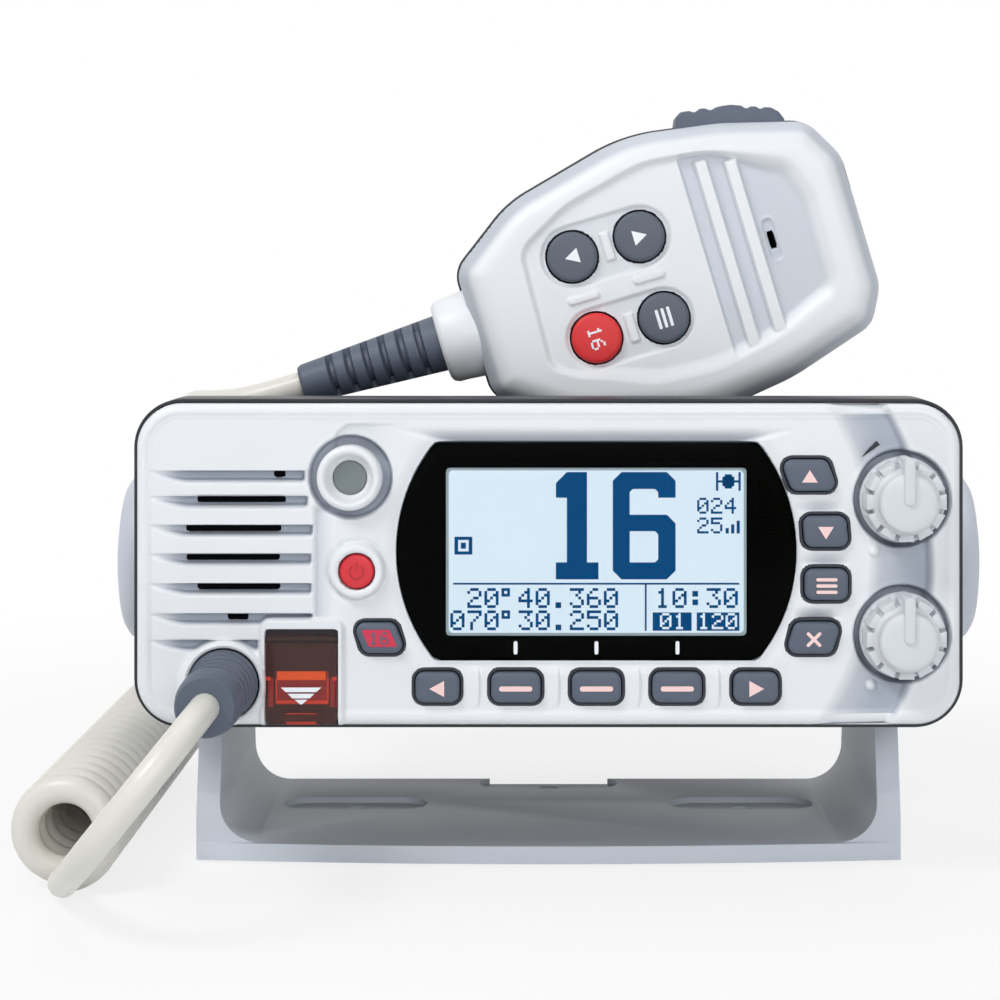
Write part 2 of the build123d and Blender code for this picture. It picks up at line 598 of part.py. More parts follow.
        # round holes: power button, hanger stud, encoder bushes, cord boot
        with BuildSketch(panel_plane(-POWER_RING_PROUD)):
            with Locations((POWER_X, POWER_Z)):
                Circle(POWER_R + MOVE_GAP)
        extrude(amount=-(POWER_RING_PROUD + PANEL_WALL), mode=Mode.SUBTRACT)
        with BuildSketch(panel_plane(0)):
            with Locations((HANGER_X, HANGER_Z)):
                Circle(HANGER_DISH_R + FIT)
            with Locations([(KNOB_X, z) for z in KNOB_ZS.values()]):
                Circle(ENCODER_BUSH_R + FIT)
        extrude(amount=-PANEL_WALL, mode=Mode.SUBTRACT)
        with BuildSketch(panel_plane(-COLLAR_PROUD)):
            with Locations((BOOT_X, BOOT_Z)):
                Circle(BOOT_NECK_R + FIT)
        extrude(amount=-(COLLAR_PROUD + PANEL_WALL), mode=Mode.SUBTRACT)
        # display: seat of the window and the opening for the LCD
        with BuildSketch(panel_plane(0)):
            add(window_outline(FIT))
        extrude(amount=-(WINDOW_T + MASK_T + SHEET_GAP), mode=Mode.SUBTRACT)
        with BuildSketch(panel_plane(0)):
            with Locations((WINDOW_X, LCD_Z)):
                Rectangle(LCD_W + 2 * LCD_FRAME + 2 * FIT, LCD_H + 2 * LCD_FRAME + 2 * FIT)
        extrude(amount=-PANEL_WALL, mode=Mode.SUBTRACT)
    return panel


def make_surround():
    """Dark frame that the panel sits in, with the opening for the chassis behind."""
    width = PANEL_W + 2 * SURROUND_LIP
    height = PANEL_H + 2 * SURROUND_LIP
    with BuildPart() as surround:
        with BuildSketch(panel_plane(SURROUND_FRONT)):
            RectangleRounded(width, height, PANEL_R + SURROUND_LIP)
        extrude(amount=-(SURROUND_BACK - SURROUND_FRONT))
        chamfer(surround.faces().sort_by(Axis.Y)[-1].outer_wire().edges(), SURROUND_CHAMFER)
        with BuildSketch(panel_plane(SURROUND_FRONT)):
            RectangleRounded(PANEL_W + 2 * FIT, PANEL_H + 2 * FIT, PANEL_R + FIT)
        extrude(amount=-(PANEL_WALL + SHEET_GAP - SURROUND_FRONT), mode=Mode.SUBTRACT)
        with BuildSketch(panel_plane(SURROUND_FRONT)):
            RectangleRounded(PANEL_W - 2 * SURROUND_LEDGE, PANEL_H - 2 * SURROUND_LEDGE,
                             PANEL_R - SURROUND_LEDGE)
        extrude(amount=-(SURROUND_BACK - SURROUND_WALL_BACK - SURROUND_FRONT), mode=Mode.SUBTRACT)
        with BuildSketch(panel_plane(SURROUND_FRONT)):
            with Locations((0, -CHASSIS_DROP)):
                RectangleRounded(CHASSIS_W + 2 * FIT, CHASSIS_H + 2 * FIT, CHASSIS_R + FIT)
            with GridLocations(2 * SCREW_X, 2 * SCREW_Z, 2, 2):
                Circle(SCREW_R + FIT)
        extrude(amount=-(SURROUND_BACK - SURROUND_FRONT), mode=Mode.SUBTRACT)
    return surround


def make_panel_screws():
    """Four screws that pull the panel into the surround from behind."""
    with BuildPart() as screws:
        with BuildSketch(panel_plane(SURROUND_BACK)):
            with GridLocations(2 * SCREW_X, 2 * SCREW_Z, 2, 2):
                Circle(SCREW_HEAD_R)
        extrude(amount=-SCREW_HEAD_T)
        with BuildSketch(panel_plane(SURROUND_BACK)):
            with GridLocations(2 * SCREW_X, 2 * SCREW_Z, 2, 2):
                Circle(SCREW_R - SHAFT_GAP)
        extrude(amount=SCREW_L)
    return screws


# ---------------------------------------------------------------- chassis
CHASSIS_MID_Z = PANEL_MID_Z - CHASSIS_DROP
CHASSIS_BACK_Y = PANEL_FACE_Y + CHASSIS_BACK
CHASSIS_FRONT = SURROUND_BACK - SURROUND_WALL_BACK - SHEET_GAP - FLANGE_T
CHASSIS_FLOOR_Z = CHASSIS_MID_Z - CHASSIS_H / 2 + CHASSIS_WALL
BOARD_Z = CHASSIS_FLOOR_Z + BOARD_LIFT
BOARD_X = CHASSIS_W / 2 - BOARD_INSET
BOARD_L = CHASSIS_BACK - BOARD_FRONT - BOARD_REAR
BOARD_Y = PANEL_FACE_Y + BOARD_FRONT + BOARD_L / 2


def make_chassis():
    """Die-cast box behind the panel: finned rear half, bosses for the side inserts."""
    inner_w = CHASSIS_W - 2 * CHASSIS_WALL
    inner_h = CHASSIS_H - 2 * CHASSIS_WALL
    fin_length = CHASSIS_BACK - FIN_START
    fin_y = CHASSIS_BACK_Y - fin_length / 2
    with BuildPart() as chassis:
        with BuildSketch(panel_plane(CHASSIS_FRONT)):
            with Locations((0, -CHASSIS_DROP)):
                RectangleRounded(CHASSIS_W, CHASSIS_H, CHASSIS_R)
        extrude(amount=-(CHASSIS_BACK - CHASSIS_FRONT))
        with BuildSketch(panel_plane(CHASSIS_FRONT)):
            with Locations((0, -CHASSIS_DROP)):
                RectangleRounded(CHASSIS_W + 2 * FLANGE_GROW, CHASSIS_H + 2 * FLANGE_GROW,
                                 CHASSIS_R + FLANGE_GROW)
        extrude(amount=-FLANGE_T)
        with BuildSketch(panel_plane(CHASSIS_FRONT)):
            with Locations((0, -CHASSIS_DROP)):
                RectangleRounded(inner_w, inner_h, CHASSIS_INNER_R)
        extrude(amount=-(CHASSIS_BACK - CHASSIS_REAR_WALL - CHASSIS_FRONT), mode=Mode.SUBTRACT)
        # bosses for the threaded side inserts
        for side in (-1, 1):
            with Locations((side * (CHASSIS_W / 2 - INSERT_L / 2), 0, PIVOT_Z)):
                Cylinder(INSERT_BOSS_R, INSERT_L, rotation=(0, 90, 0))
            with Locations((side * (CHASSIS_W / 2 - INSERT_L / 2 + INSERT_END_GAP), 0, PIVOT_Z)):
                Cylinder(INSERT_R, INSERT_L, rotation=(0, 90, 0), mode=Mode.SUBTRACT)
        # posts under the main board
        with BuildSketch(Plane.XY.offset(CHASSIS_FLOOR_Z)):
            with Locations((0, BOARD_Y)):
                with GridLocations(2 * (BOARD_X - POST_INSET), BOARD_L - 2 * POST_INSET, 2, 2):
                    Circle(POST_R)
        extrude(amount=BOARD_LIFT - SHEET_GAP)
        # cooling fins along the rear of the top and of both sides
        top_count = int((CHASSIS_W - 2 * CHASSIS_R - FIN_GAP) // FIN_PITCH) + 1
        with BuildSketch(Plane.XY.offset(CHASSIS_MID_Z + CHASSIS_H / 2)):
            with Locations((0, fin_y)):
                with GridLocations(FIN_PITCH, 1, top_count, 1):
                    Rectangle(FIN_GAP, fin_length)
        extrude(amount=-FIN_DEPTH, mode=Mode.SUBTRACT)
        side_count = int((CHASSIS_H - 2 * CHASSIS_R - FIN_GAP) // FIN_PITCH) + 1
        for side in (-1, 1):
            with BuildSketch(Plane.YZ.offset(side * CHASSIS_W / 2)):
                with Locations((fin_y, CHASSIS_MID_Z)):
                    with GridLocations(1, FIN_PITCH, 1, side_count):
                        Rectangle(fin_length, FIN_GAP)
            extrude(amount=-side * FIN_DEPTH, mode=Mode.SUBTRACT)
        # openings of the rear face
        with BuildSketch(panel_plane(CHASSIS_BACK)):
            with Locations((SOCKET_X, SOCKET_Z)):
                Circle(SOCKET_BORE_R - SOCKET_STEP)
            with Locations([(x, SOCKET_Z) for x in GLAND_XS]):
                Circle(GLAND_R - GLAND_STEP + FIT)
        extrude(amount=CHASSIS_REAR_WALL, mode=Mode.SUBTRACT)
    return chassis


def make_side_inserts():
    """Threaded brass inserts that the bracket knobs screw into."""
    with BuildPart() as inserts:
        for side in (-1, 1):
            length = INSERT_L - 2 * INSERT_END_GAP - FIT
            with Locations((side * (CHASSIS_W / 2 - INSERT_L / 2 + FIT / 2), 0, PIVOT_Z)):
                Cylinder(INSERT_R - FIT, length, rotation=(0, 90, 0))
                Cylinder(STUD_R + SHAFT_GAP, INSERT_L, rotation=(0, 90, 0), mode=Mode.SUBTRACT)
    return inserts


def make_bracket_washers():
    """Rubber washers between the chassis and the arms of the bracket."""
    thickness = ARM_SPACE - FIT
    with BuildPart() as washers:
        for side in (-1, 1):
            with Locations((side * (CHASSIS_W / 2 + thickness / 2), 0, PIVOT_Z)):
                Cylinder(WASHER_R, thickness, rotation=(0, 90, 0))
                Cylinder(INSERT_R, ARM_SPACE, rotation=(0, 90, 0), mode=Mode.SUBTRACT)
    return washers


def make_main_board():
    """Main board with the amplifier, its shield can and the big capacitors."""
    top = BOARD_Z + BOARD_T
    standing = (Align.CENTER, Align.CENTER, Align.MIN)
    with BuildPart() as board:
        with Locations((0, BOARD_Y, BOARD_Z)):
            Box(2 * BOARD_X, BOARD_L, BOARD_T, align=standing)
        with Locations((SHIELD_X, BOARD_Y + SHIELD_BEHIND, top)):
            Box(SHIELD_W, SHIELD_D, SHIELD_H, align=standing)
        with Locations([(x, BOARD_Y + CAPACITOR_BEHIND, top) for x in CAPACITOR_XS]):
            Cylinder(CAPACITOR_R, CAPACITOR_H, align=standing)
        with Locations((CHIP_X, BOARD_Y - CHIP_BEFORE, top)):
            Box(CHIP_W, CHIP_W, CHIP_H, align=standing)
    return board


def make_antenna_socket():
    """Coaxial socket on the rear face: square flange and threaded barrel."""
    with BuildPart() as socket:
        with BuildSketch(panel_plane(CHASSIS_BACK)):
            with Locations((SOCKET_X, SOCKET_Z)):
                RectangleRounded(SOCKET_FLANGE, SOCKET_FLANGE, SOCKET_FLANGE_R)
        extrude(amount=-SOCKET_FLANGE_T)
        with BuildSketch(panel_plane(CHASSIS_BACK)):
            with Locations((SOCKET_X, SOCKET_Z)):
                Circle(SOCKET_R)
        extrude(amount=-(SOCKET_FLANGE_T + SOCKET_L))
        with BuildSketch(panel_plane(CHASSIS_BACK)):
            with Locations((SOCKET_X, SOCKET_Z)):
                Circle(SOCKET_BORE_R)
        extrude(amount=-(SOCKET_FLANGE_T + SOCKET_L), mode=Mode.SUBTRACT)
    return socket


def make_antenna_insulator():
    """Insulator inside the socket, with the contact tube's bore."""
    with BuildPart() as insulator:
        with BuildSketch(panel_plane(CHASSIS_BACK)):
            with Locations((SOCKET_X, SOCKET_Z)):
                Circle(SOCKET_BORE_R - SHAFT_GAP)
        extrude(amount=-SOCKET_FLANGE_T)
        with BuildSketch(panel_plane(CHASSIS_BACK + SOCKET_FLANGE_T)):
            with Locations((SOCKET_X, SOCKET_Z)):
                Circle(INSULATOR_R)
                Circle(INSULATOR_BORE_R, mode=Mode.SUBTRACT)
        extrude(amount=-INSULATOR_L)
    return insulator


def make_rear_glands():
    """Rubber cable glands in the rear face."""
    with BuildPart() as glands:
        for x in GLAND_XS:
            with BuildSketch(panel_plane(CHASSIS_BACK)):
                with Locations((x, SOCKET_Z)):
                    Circle(GLAND_R)
            extrude(amount=-GLAND_L, taper=GLAND_TAPER)
            with BuildSketch(panel_plane(CHASSIS_BACK)):
                with Locations((x, SOCKET_Z)):
                    Circle(GLAND_R - GLAND_STEP)
            extrude(amount=CHASSIS_REAR_WALL)
            with BuildSketch(panel_plane(CHASSIS_BACK + GLAND_L)):
                with Locations((x, SOCKET_Z)):
                    Circle(GLAND_BORE_R)
            extrude(amount=GLAND_L, mode=Mode.SUBTRACT)
    return glands


# ---------------------------------------------------------------- display
def make_display_window():
    """Clear window with a softened edge, flush with the panel."""
    with BuildPart() as window:
        with BuildSketch(panel_plane(0)):
            add(window_outline())
        extrude(amount=-WINDOW_T)
        chamfer(window.faces().sort_by(Axis.Y)[0].outer_wire().edges(), WINDOW_CHAMFER)
    return window


def make_display_mask():
    """Black printed frame behind the window."""
    with BuildPart() as mask:
        with BuildSketch(panel_plane(WINDOW_T)):
            add(window_outline())
            with Locations((WINDOW_X, LCD_Z)):
                RectangleRounded(LCD_W, LCD_H, MASK_CORNER_R, mode=Mode.SUBTRACT)
        extrude(amount=-MASK_T)
    return mask


def make_lcd_module():
    """Display glass with its light frame, in the panel's opening."""
    front = WINDOW_T + MASK_T + SHEET_GAP
    with BuildPart() as lcd:
        with BuildSketch(panel_plane(front)):
            with Locations((WINDOW_X, LCD_Z)):
                Rectangle(LCD_W + 2 * LCD_FRAME, LCD_H + 2 * LCD_FRAME)
        extrude(amount=-LCD_T)
    return lcd


# ---------------------------------------------------------------- speaker
def make_speaker():
    """Slim driver: basket ring, cone and magnet, turned about its own axis."""
    front = PANEL_WALL + SCREEN_T + 2 * SHEET_GAP
    with BuildPart() as speaker:
        with BuildSketch(panel_plane(front)):
            with Locations((SPEAKER_X, SPEAKER_Z)):
                Circle(SPEAKER_R)
        extrude(amount=-BASKET_T)
        with BuildSketch(panel_plane(front + BASKET_T)):
            with Locations((SPEAKER_X, SPEAKER_Z)):
                Circle(SPEAKER_R - BASKET_RIM)
        extrude(amount=-BASKET_DEPTH, taper=BASKET_TAPER)
        with BuildSketch(panel_plane(front + BASKET_T + BASKET_DEPTH)):
            with Locations((SPEAKER_X, SPEAKER_Z)):
                Circle(MAGNET_R)
        extrude(amount=MAGNET_IN - MAGNET_T)
        with BuildSketch(panel_plane(front + BASKET_T + BASKET_DEPTH)):
            with Locations((SPEAKER_X, SPEAKER_Z)):
                Circle(MAGNET_R)
        extrude(amount=MAGNET_IN)
        with BuildSketch(panel_plane(front)):
            with Locations((SPEAKER_X, SPEAKER_Z)):
                Circle(SPEAKER_R - CONE_RIM)
        extrude(amount=-CONE_DEPTH, taper=CONE_TAPER, mode=Mode.SUBTRACT)
    return speaker


def make_speaker_screen():
    """Fine screen behind the louvres."""
    with BuildPart() as screen:
        with BuildSketch(panel_plane(PANEL_WALL + SHEET_GAP)):
            with Locations((SPEAKER_X, SPEAKER_Z)):
                RectangleRounded(SCREEN_W, SCREEN_H, SCREEN_R)
            with Locations((COVER_X, WELL_TOP + COVER_FRAME + SHEET_GAP)):
                Rectangle(WELL_FRAME_W + 2 * SHEET_GAP, PANEL_H, align=(Align.CENTER, Align.MAX),
                          mode=Mode.SUBTRACT)
        extrude(amount=-SCREEN_T)
    return screen


# ---------------------------------------------------------------- controls
def make_key(x, z, width, height, lean):
    """One key cap: slightly crowned face, with the flange that keeps it behind the panel."""
    with BuildPart() as key:
        with BuildSketch(panel_plane(-KEY_PROUD)):
            add(key_outline(x, z, width, height, lean))
        extrude(amount=-(KEY_PROUD + PANEL_WALL + KEY_FLANGE_T))
        fillet(key.faces().sort_by(Axis.Y)[0].outer_wire().edges(), KEY_EDGE_R)
        with BuildSketch(panel_plane(PANEL_WALL + 2 * SHEET_GAP)):
            add(key_outline(x, z, width, height, lean, KEY_FLANGE))
        extrude(amount=-(KEY_FLANGE_T - 2 * SHEET_GAP))
    return key


def make_power_button():
    """Round red button inside the raised ring."""
    with BuildPart() as button:
        with BuildSketch(panel_plane(POWER_SUNK - POWER_RING_PROUD)):
            with Locations((POWER_X, POWER_Z)):
                Circle(POWER_R)
        extrude(amount=-(POWER_RING_PROUD - POWER_SUNK + PANEL_WALL + KEY_FLANGE_T))
        fillet(button.faces().sort_by(Axis.Y)[0].outer_wire().edges(), KEY_EDGE_R)
        with BuildSketch(panel_plane(PANEL_WALL + 2 * SHEET_GAP)):
            with Locations((POWER_X, POWER_Z)):
                Circle(POWER_R + MOVE_GAP + KEY_FLANGE)
        extrude(amount=-(KEY_FLANGE_T - 2 * SHEET_GAP))
    return button


def make_key_mat():
    """Silicone sheet with a raised pad behind each key."""
    with BuildPart() as mat:
        with BuildSketch(panel_plane(MAT_SHEET)):
            with Locations((MAT_LEFT, MAT_LOW)):
                Rectangle(MAT_RIGHT - MAT_LEFT, MAT_TOP - MAT_LOW, align=(Align.MIN, Align.MIN))
            with Locations((WINDOW_X, LCD_Z)):
                room = 2 * (LCD_FRAME + MAT_LCD_GAP)
                Rectangle(LCD_W + room, LCD_H + room, mode=Mode.SUBTRACT)
        extrude(amount=-(MAT_BACK - MAT_SHEET))
        with BuildSketch(panel_plane(MAT_FRONT)):
            with Locations([(key[0], key[1]) for key in KEYS.values()] + [(POWER_X, POWER_Z)]):
                Circle(MAT_PAD_R)
        extrude(amount=-(MAT_SHEET - MAT_FRONT))
    return mat


def make_front_board():
    """Board behind the keys, with the encoders' pads and the distress switch."""
    front = MAT_BACK + SHEET_GAP
    with BuildPart() as board:
        with BuildSketch(panel_plane(front)):
            with Locations((FRONT_BOARD_LEFT, FRONT_BOARD_LOW)):
                RectangleRounded(FRONT_BOARD_RIGHT - FRONT_BOARD_LEFT, FRONT_BOARD_TOP - FRONT_BOARD_LOW,
                                 FRONT_BOARD_R, align=(Align.MIN, Align.MIN))
            with GridLocations(2 * SCREW_X, 2 * SCREW_Z, 2, 2):
                Circle(BOSS_R + MOVE_GAP, mode=Mode.SUBTRACT)
        extrude(amount=-BOARD_T)
    return board


def make_encoders():
    """Two rotary encoders behind the panel, their bushes through it."""
    with BuildPart() as encoders:
        with BuildSketch(panel_plane(PANEL_WALL + SHEET_GAP)):
            with Locations([(KNOB_X, z) for z in KNOB_ZS.values()]):
                Rectangle(ENCODER_W, ENCODER_W)
        extrude(amount=-(MAT_BACK - PANEL_WALL - SHEET_GAP))
        with BuildSketch(panel_plane(PANEL_WALL + SHEET_GAP)):
            with Locations([(KNOB_X, z) for z in KNOB_ZS.values()]):
                Circle(ENCODER_BUSH_R)
        extrude(amount=PANEL_WALL + SHEET_GAP - ENCODER_BUSH_SUNK)
        with BuildSketch(panel_plane(0)):
            with Locations([(KNOB_X, z) for z in KNOB_ZS.values()]):
                Circle(SHAFT_R + SHAFT_GAP)
        extrude(amount=-(MAT_BACK - ENCODER_FLOOR), mode=Mode.SUBTRACT)
    return encoders


def make_shaft(z):
    """Encoder shaft that carries a knob."""
    with BuildPart() as shaft:
        with BuildSketch(panel_plane(MAT_BACK - ENCODER_FLOOR - SHEET_GAP)):
            with Locations((KNOB_X, z)):
                Circle(SHAFT_R)
        extrude(amount=MAT_BACK - ENCODER_FLOOR - SHEET_GAP + KNOB_PROUD - KNOB_WALL)
    return shaft


def make_knob(z):
    """Stepped knob: flange, toothed drum, cap and pointer bar."""
    flange_back = MOAT_DEPTH - MOVE_GAP
    with BuildPart() as knob:
        with BuildSketch(panel_plane(flange_back)):
            with Locations((KNOB_X, z)):
                Circle(KNOB_FLANGE_R)
        extrude(amount=flange_back + KNOB_FLANGE_PROUD)
        with BuildSketch(panel_plane(-KNOB_FLANGE_PROUD)):
            with Locations((KNOB_X, z)):
                Circle(KNOB_DRUM_R)
        extrude(amount=KNOB_DRUM_PROUD - KNOB_FLANGE_PROUD)
        with BuildSketch(panel_plane(-KNOB_FLANGE_PROUD)):
            with Locations((KNOB_X, z)):
                with PolarLocations(KNOB_FLANGE_R - KNOB_TOOTH_IN, KNOB_TEETH):
                    Rectangle(KNOB_TOOTH_L, KNOB_TOOTH_W)
        extrude(amount=KNOB_TOOTH_H)
        with BuildSketch(panel_plane(-KNOB_DRUM_PROUD)):
            with Locations((KNOB_X, z)):
                Circle(KNOB_CAP_R)
        extrude(amount=KNOB_PROUD - KNOB_DRUM_PROUD)
        with BuildSketch(panel_plane(-KNOB_FLANGE_PROUD)):
            with Locations((KNOB_X, z)):
                RectangleRounded(POINTER_W, KNOB_FLANGE_R - 2 * POINTER_IN, POINTER_R,
                                 align=(Align.CENTER, Align.MIN))
        extrude(amount=KNOB_PROUD - KNOB_FLANGE_PROUD + POINTER_PROUD)
        with BuildSketch(panel_plane(flange_back)):
            with Locations((KNOB_X, z)):
                Circle(ENCODER_BUSH_R + MOVE_GAP)
        extrude(amount=flange_back + ENCODER_BUSH_SUNK, mode=Mode.SUBTRACT)
        with BuildSketch(panel_plane(flange_back)):
            with Locations((KNOB_X, z)):
                Circle(SHAFT_R + SHAFT_GAP)
        extrude(amount=flange_back + KNOB_PROUD - KNOB_WALL + SHAFT_END_GAP, mode=Mode.SUBTRACT)
    return knob


def make_hanger_stud():
    """Dished ring that the microphone's button hooks behind."""
    with BuildPart() as stud:
        with BuildSketch(panel_plane(MOAT_DEPTH - SHEET_GAP)):
            with Locations((HANGER_X, HANGER_Z)):
                Circle(HANGER_R)
        extrude(amount=MOAT_DEPTH - SHEET_GAP + HANGER_PROUD)
        with BuildSketch(panel_plane(PANEL_WALL)):
            with Locations((HANGER_X, HANGER_Z)):
                Circle(HANGER_DISH_R)
        extrude(amount=PANEL_WALL - MOAT_DEPTH + SHEET_GAP)
        with BuildSketch(panel_plane(-HANGER_PROUD)):
            with Locations((HANGER_X, HANGER_Z)):
                Circle(HANGER_DISH_R)
        extrude(amount=-(HANGER_PROUD - HANGER_FLOOR), taper=HANGER_TAPER, mode=Mode.SUBTRACT)
        with BuildSketch(panel_plane(-HANGER_FLOOR)):
            with Locations((HANGER_X, HANGER_Z)):
                Circle(HANGER_PLUG_R + FIT)
        extrude(amount=-(HANGER_PLUG_T - SHEET_GAP), mode=Mode.SUBTRACT)
    return stud


def make_hanger_plug():
    """Grey disc in the middle of the stud."""
    with BuildPart() as plug:
        with BuildSketch(panel_plane(-HANGER_PLUG_PROUD)):
            with Locations((HANGER_X, HANGER_Z)):
                Circle(HANGER_PLUG_R)
        extrude(amount=-HANGER_PLUG_T)
    return plug


# ---------------------------------------------------------------- distress cover
def make_distress_cover():
    """Hinged see-through cover with its pull lip."""
    back = COVER_T - COVER_PROUD
    with BuildPart() as cover:
        with BuildSketch(panel_plane(back)):
            with Locations((COVER_X, (COVER_LOW + COVER_HIGH) / 2)):
                RectangleRounded(COVER_W, COVER_H, COVER_R)
        extrude(amount=COVER_T)
        with Locations((COVER_X, PANEL_FACE_Y + COVER_PIN_DEPTH, PANEL_MID_Z + COVER_PIN_Z)):
            Cylinder(COVER_BARREL_R, COVER_W - 2 * COVER_BARREL_IN, rotation=(0, 90, 0))
        with BuildSketch(panel_plane(-COVER_PROUD)):
            with Locations((COVER_X, COVER_LOW + COVER_LIP_Z)):
                Rectangle(COVER_LIP_W, COVER_LIP_H)
        extrude(amount=COVER_LIP_PROUD)
        with Locations((COVER_X, PANEL_FACE_Y + COVER_PIN_DEPTH, PANEL_MID_Z + COVER_PIN_Z)):
            Cylinder(COVER_PIN_R + SHAFT_GAP, COVER_W, rotation=(0, 90, 0), mode=Mode.SUBTRACT)
    return cover


def make_cover_pin():
    """Steel pin through the cover's barrel, held in the panel at both ends."""
    with BuildPart() as pin:
        with Locations((COVER_X, PANEL_FACE_Y + COVER_PIN_DEPTH, PANEL_MID_Z + COVER_PIN_Z)):
            Cylinder(COVER_PIN_R - PIN_GAP, COVER_W + 2 * COVER_PIN_GRIP, rotation=(0, 90, 0))
    return pin


def make_distress_key():
    """Red key in the well under the cover."""
    with BuildPart() as key:
        with BuildSketch(panel_plane(COVER_WELL - DISTRESS_KEY_PROUD)):
            with Locations((COVER_X, DISTRESS_KEY_Z)):
                RectangleRounded(DISTRESS_KEY_W, DISTRESS_KEY_H, DISTRESS_KEY_R)
        extrude(amount=-(DISTRESS_KEY_PROUD - KEY_TRAVEL - DISTRESS_KEY_GAP))
        with BuildSketch(panel_plane(COVER_WELL - DISTRESS_KEY_PROUD)):
            with Locations((COVER_X, DISTRESS_KEY_Z)):
                Rectangle(DISTRESS_STEM, DISTRESS_STEM)
        extrude(amount=-(MAT_BACK - KEY_TRAVEL - COVER_WELL + DISTRESS_KEY_PROUD))
    return key


# ---------------------------------------------------------------- cord boot on the panel
def make_panel_cord_boot():
    """Ribbed rubber boot, with the neck and shoulder that hold it in the panel."""
    with BuildPart() as boot:
        with BuildSketch(panel_plane(-COLLAR_PROUD)):
            with Locations((BOOT_X, BOOT_Z)):
                Circle(BOOT_BASE_R)
        extrude(amount=BOOT_L - COLLAR_PROUD, taper=degrees(atan2(BOOT_BASE_R - BOOT_END_R, BOOT_L)))
        for ring in range(BOOT_RINGS):
            reach = BOOT_RING_START + BOOT_RING_PITCH * ring
            floor_r = BOOT_BASE_R - BOOT_RING_DEPTH - reach * (BOOT_BASE_R - BOOT_END_R) / BOOT_L
            with BuildSketch(panel_plane(-reach)):
                with Locations((BOOT_X, BOOT_Z)):
                    Circle(COLLAR_R)
                    Circle(floor_r, mode=Mode.SUBTRACT)
            extrude(amount=BOOT_RING_GAP, mode=Mode.SUBTRACT)
        with BuildSketch(panel_plane(-COLLAR_PROUD)):
            with Locations((BOOT_X, BOOT_Z)):
                Circle(BOOT_NECK_R)
        extrude(amount=-(COLLAR_PROUD + PANEL_WALL + BOOT_NECK_L))
        with BuildSketch(panel_plane(PANEL_WALL + SHEET_GAP)):
            with Locations((BOOT_X, BOOT_Z)):
                Circle(BOOT_NECK_R + BOOT_SHOULDER)
        extrude(amount=-BOOT_SHOULDER_T)
    return boot


# ---------------------------------------------------------------- bracket knobs
def make_hand_knob(side):
    """Fluted hand knob outside the bracket's arm: side is -1 left or 1 right."""
    inner = ARM_OUTER + HAND_KNOB_GAP
    with BuildPart() as knob:
        with BuildSketch(Plane.YZ.offset(side * inner)):
            with Locations((0, PIVOT_Z)):
                Circle(HAND_KNOB_R - HAND_KNOB_HUB_IN)
        extrude(amount=side * HAND_KNOB_HUB_L)
        with BuildSketch(Plane.YZ.offset(side * (inner + HAND_KNOB_HUB_L))):
            with Locations((0, PIVOT_Z)):
                Circle(HAND_KNOB_R)
        extrude(amount=side * (HAND_KNOB_T - HAND_KNOB_HUB_L))
        outer = knob.faces().sort_by(Axis.X)[-1 if side > 0 else 0]
        fillet(outer.outer_wire().edges(), HAND_KNOB_EDGE_R)
        with BuildSketch(Plane.YZ.offset(side * (inner + HAND_KNOB_HUB_L))):
            with Locations((0, PIVOT_Z)):
                with PolarLocations(HAND_KNOB_R + HAND_KNOB_FLUTE_OUT, HAND_KNOB_FLUTES):
                    Circle(HAND_KNOB_FLUTE_R)
        extrude(amount=side * HAND_KNOB_FLUTE_L, mode=Mode.SUBTRACT)
        with BuildSketch(Plane.YZ.offset(side * inner)):
            with Locations((0, PIVOT_Z)):
                Circle(STUD_R + SHAFT_GAP)
        extrude(amount=side * (HAND_KNOB_STUD_IN + STUD_END_GAP), mode=Mode.SUBTRACT)
    return knob


def make_hand_knob_stud(side):
    """Threaded stud of a hand knob, through the arm into the side insert."""
    start = CHASSIS_W / 2 - STUD_REACH
    end = ARM_OUTER + HAND_KNOB_GAP + HAND_KNOB_STUD_IN
    with BuildPart() as stud:
        with Locations((side * (start + end) / 2, 0, PIVOT_Z)):
            Cylinder(STUD_R, end - start, rotation=(0, 90, 0))
    return stud


# ---------------------------------------------------------------- hand microphone
MIC_CEILING = MIC_FRONT_T - MIC_DISH - MIC_WALL   # height of the inside under the dished face
MIC_SLOT_U = MIC_L - MIC_SLOT_IN
PTT_U = MIC_L - PTT_IN
MIC_BOARD_L = MIC_L - MIC_BOARD_IN - MIC_BOARD_START
MIC_BOARD_U = MIC_BOARD_START + MIC_BOARD_L / 2
# corners of the outline's upper half and their radii, from the neck to the tip
MIC_CORNERS = ((8.0, 15.0), (24.0, 26.4), (52.0, 33.6),
               (MIC_L - 12.5, 29.2), (MIC_L - 1.9, 20.5), (MIC_L, 14.0))
MIC_CORNER_RADII = (6.0, 26.0, 46.0, 13.0, 9.0, 16.0)


def mic_outline(grow=0.0):
    """The microphone's outline, narrow at the neck and widest past its middle."""
    corners = list(MIC_CORNERS) + [(u, -w) for u, w in reversed(MIC_CORNERS)]
    with BuildSketch(Plane.XY) as outline:
        with BuildLine(Plane.XY):
            Polyline(*corners, close=True)
        make_face()
        for (u, _), radius in zip(MIC_CORNERS, MIC_CORNER_RADII):
            near = outline.vertices().filter_by(lambda v, at=u: abs(v.X - at) < PIN_GAP)
            fillet(near, radius)
        if grow:
            offset(amount=grow)
    return outline.sketch


def ptt_block(length, low, high, depth):
    """A block beside the microphone's upper edge, along the push-to-talk bar."""
    with BuildPart() as block:
        with BuildSketch(mic_plane(depth / 2)):
            with Locations(Location((PTT_U, PTT_W, 0), (0, 0, PTT_TURN))):
                with Locations((0, (low + high) / 2)):
                    Rectangle(length, high - low)
        extrude(amount=depth)
    return block.part


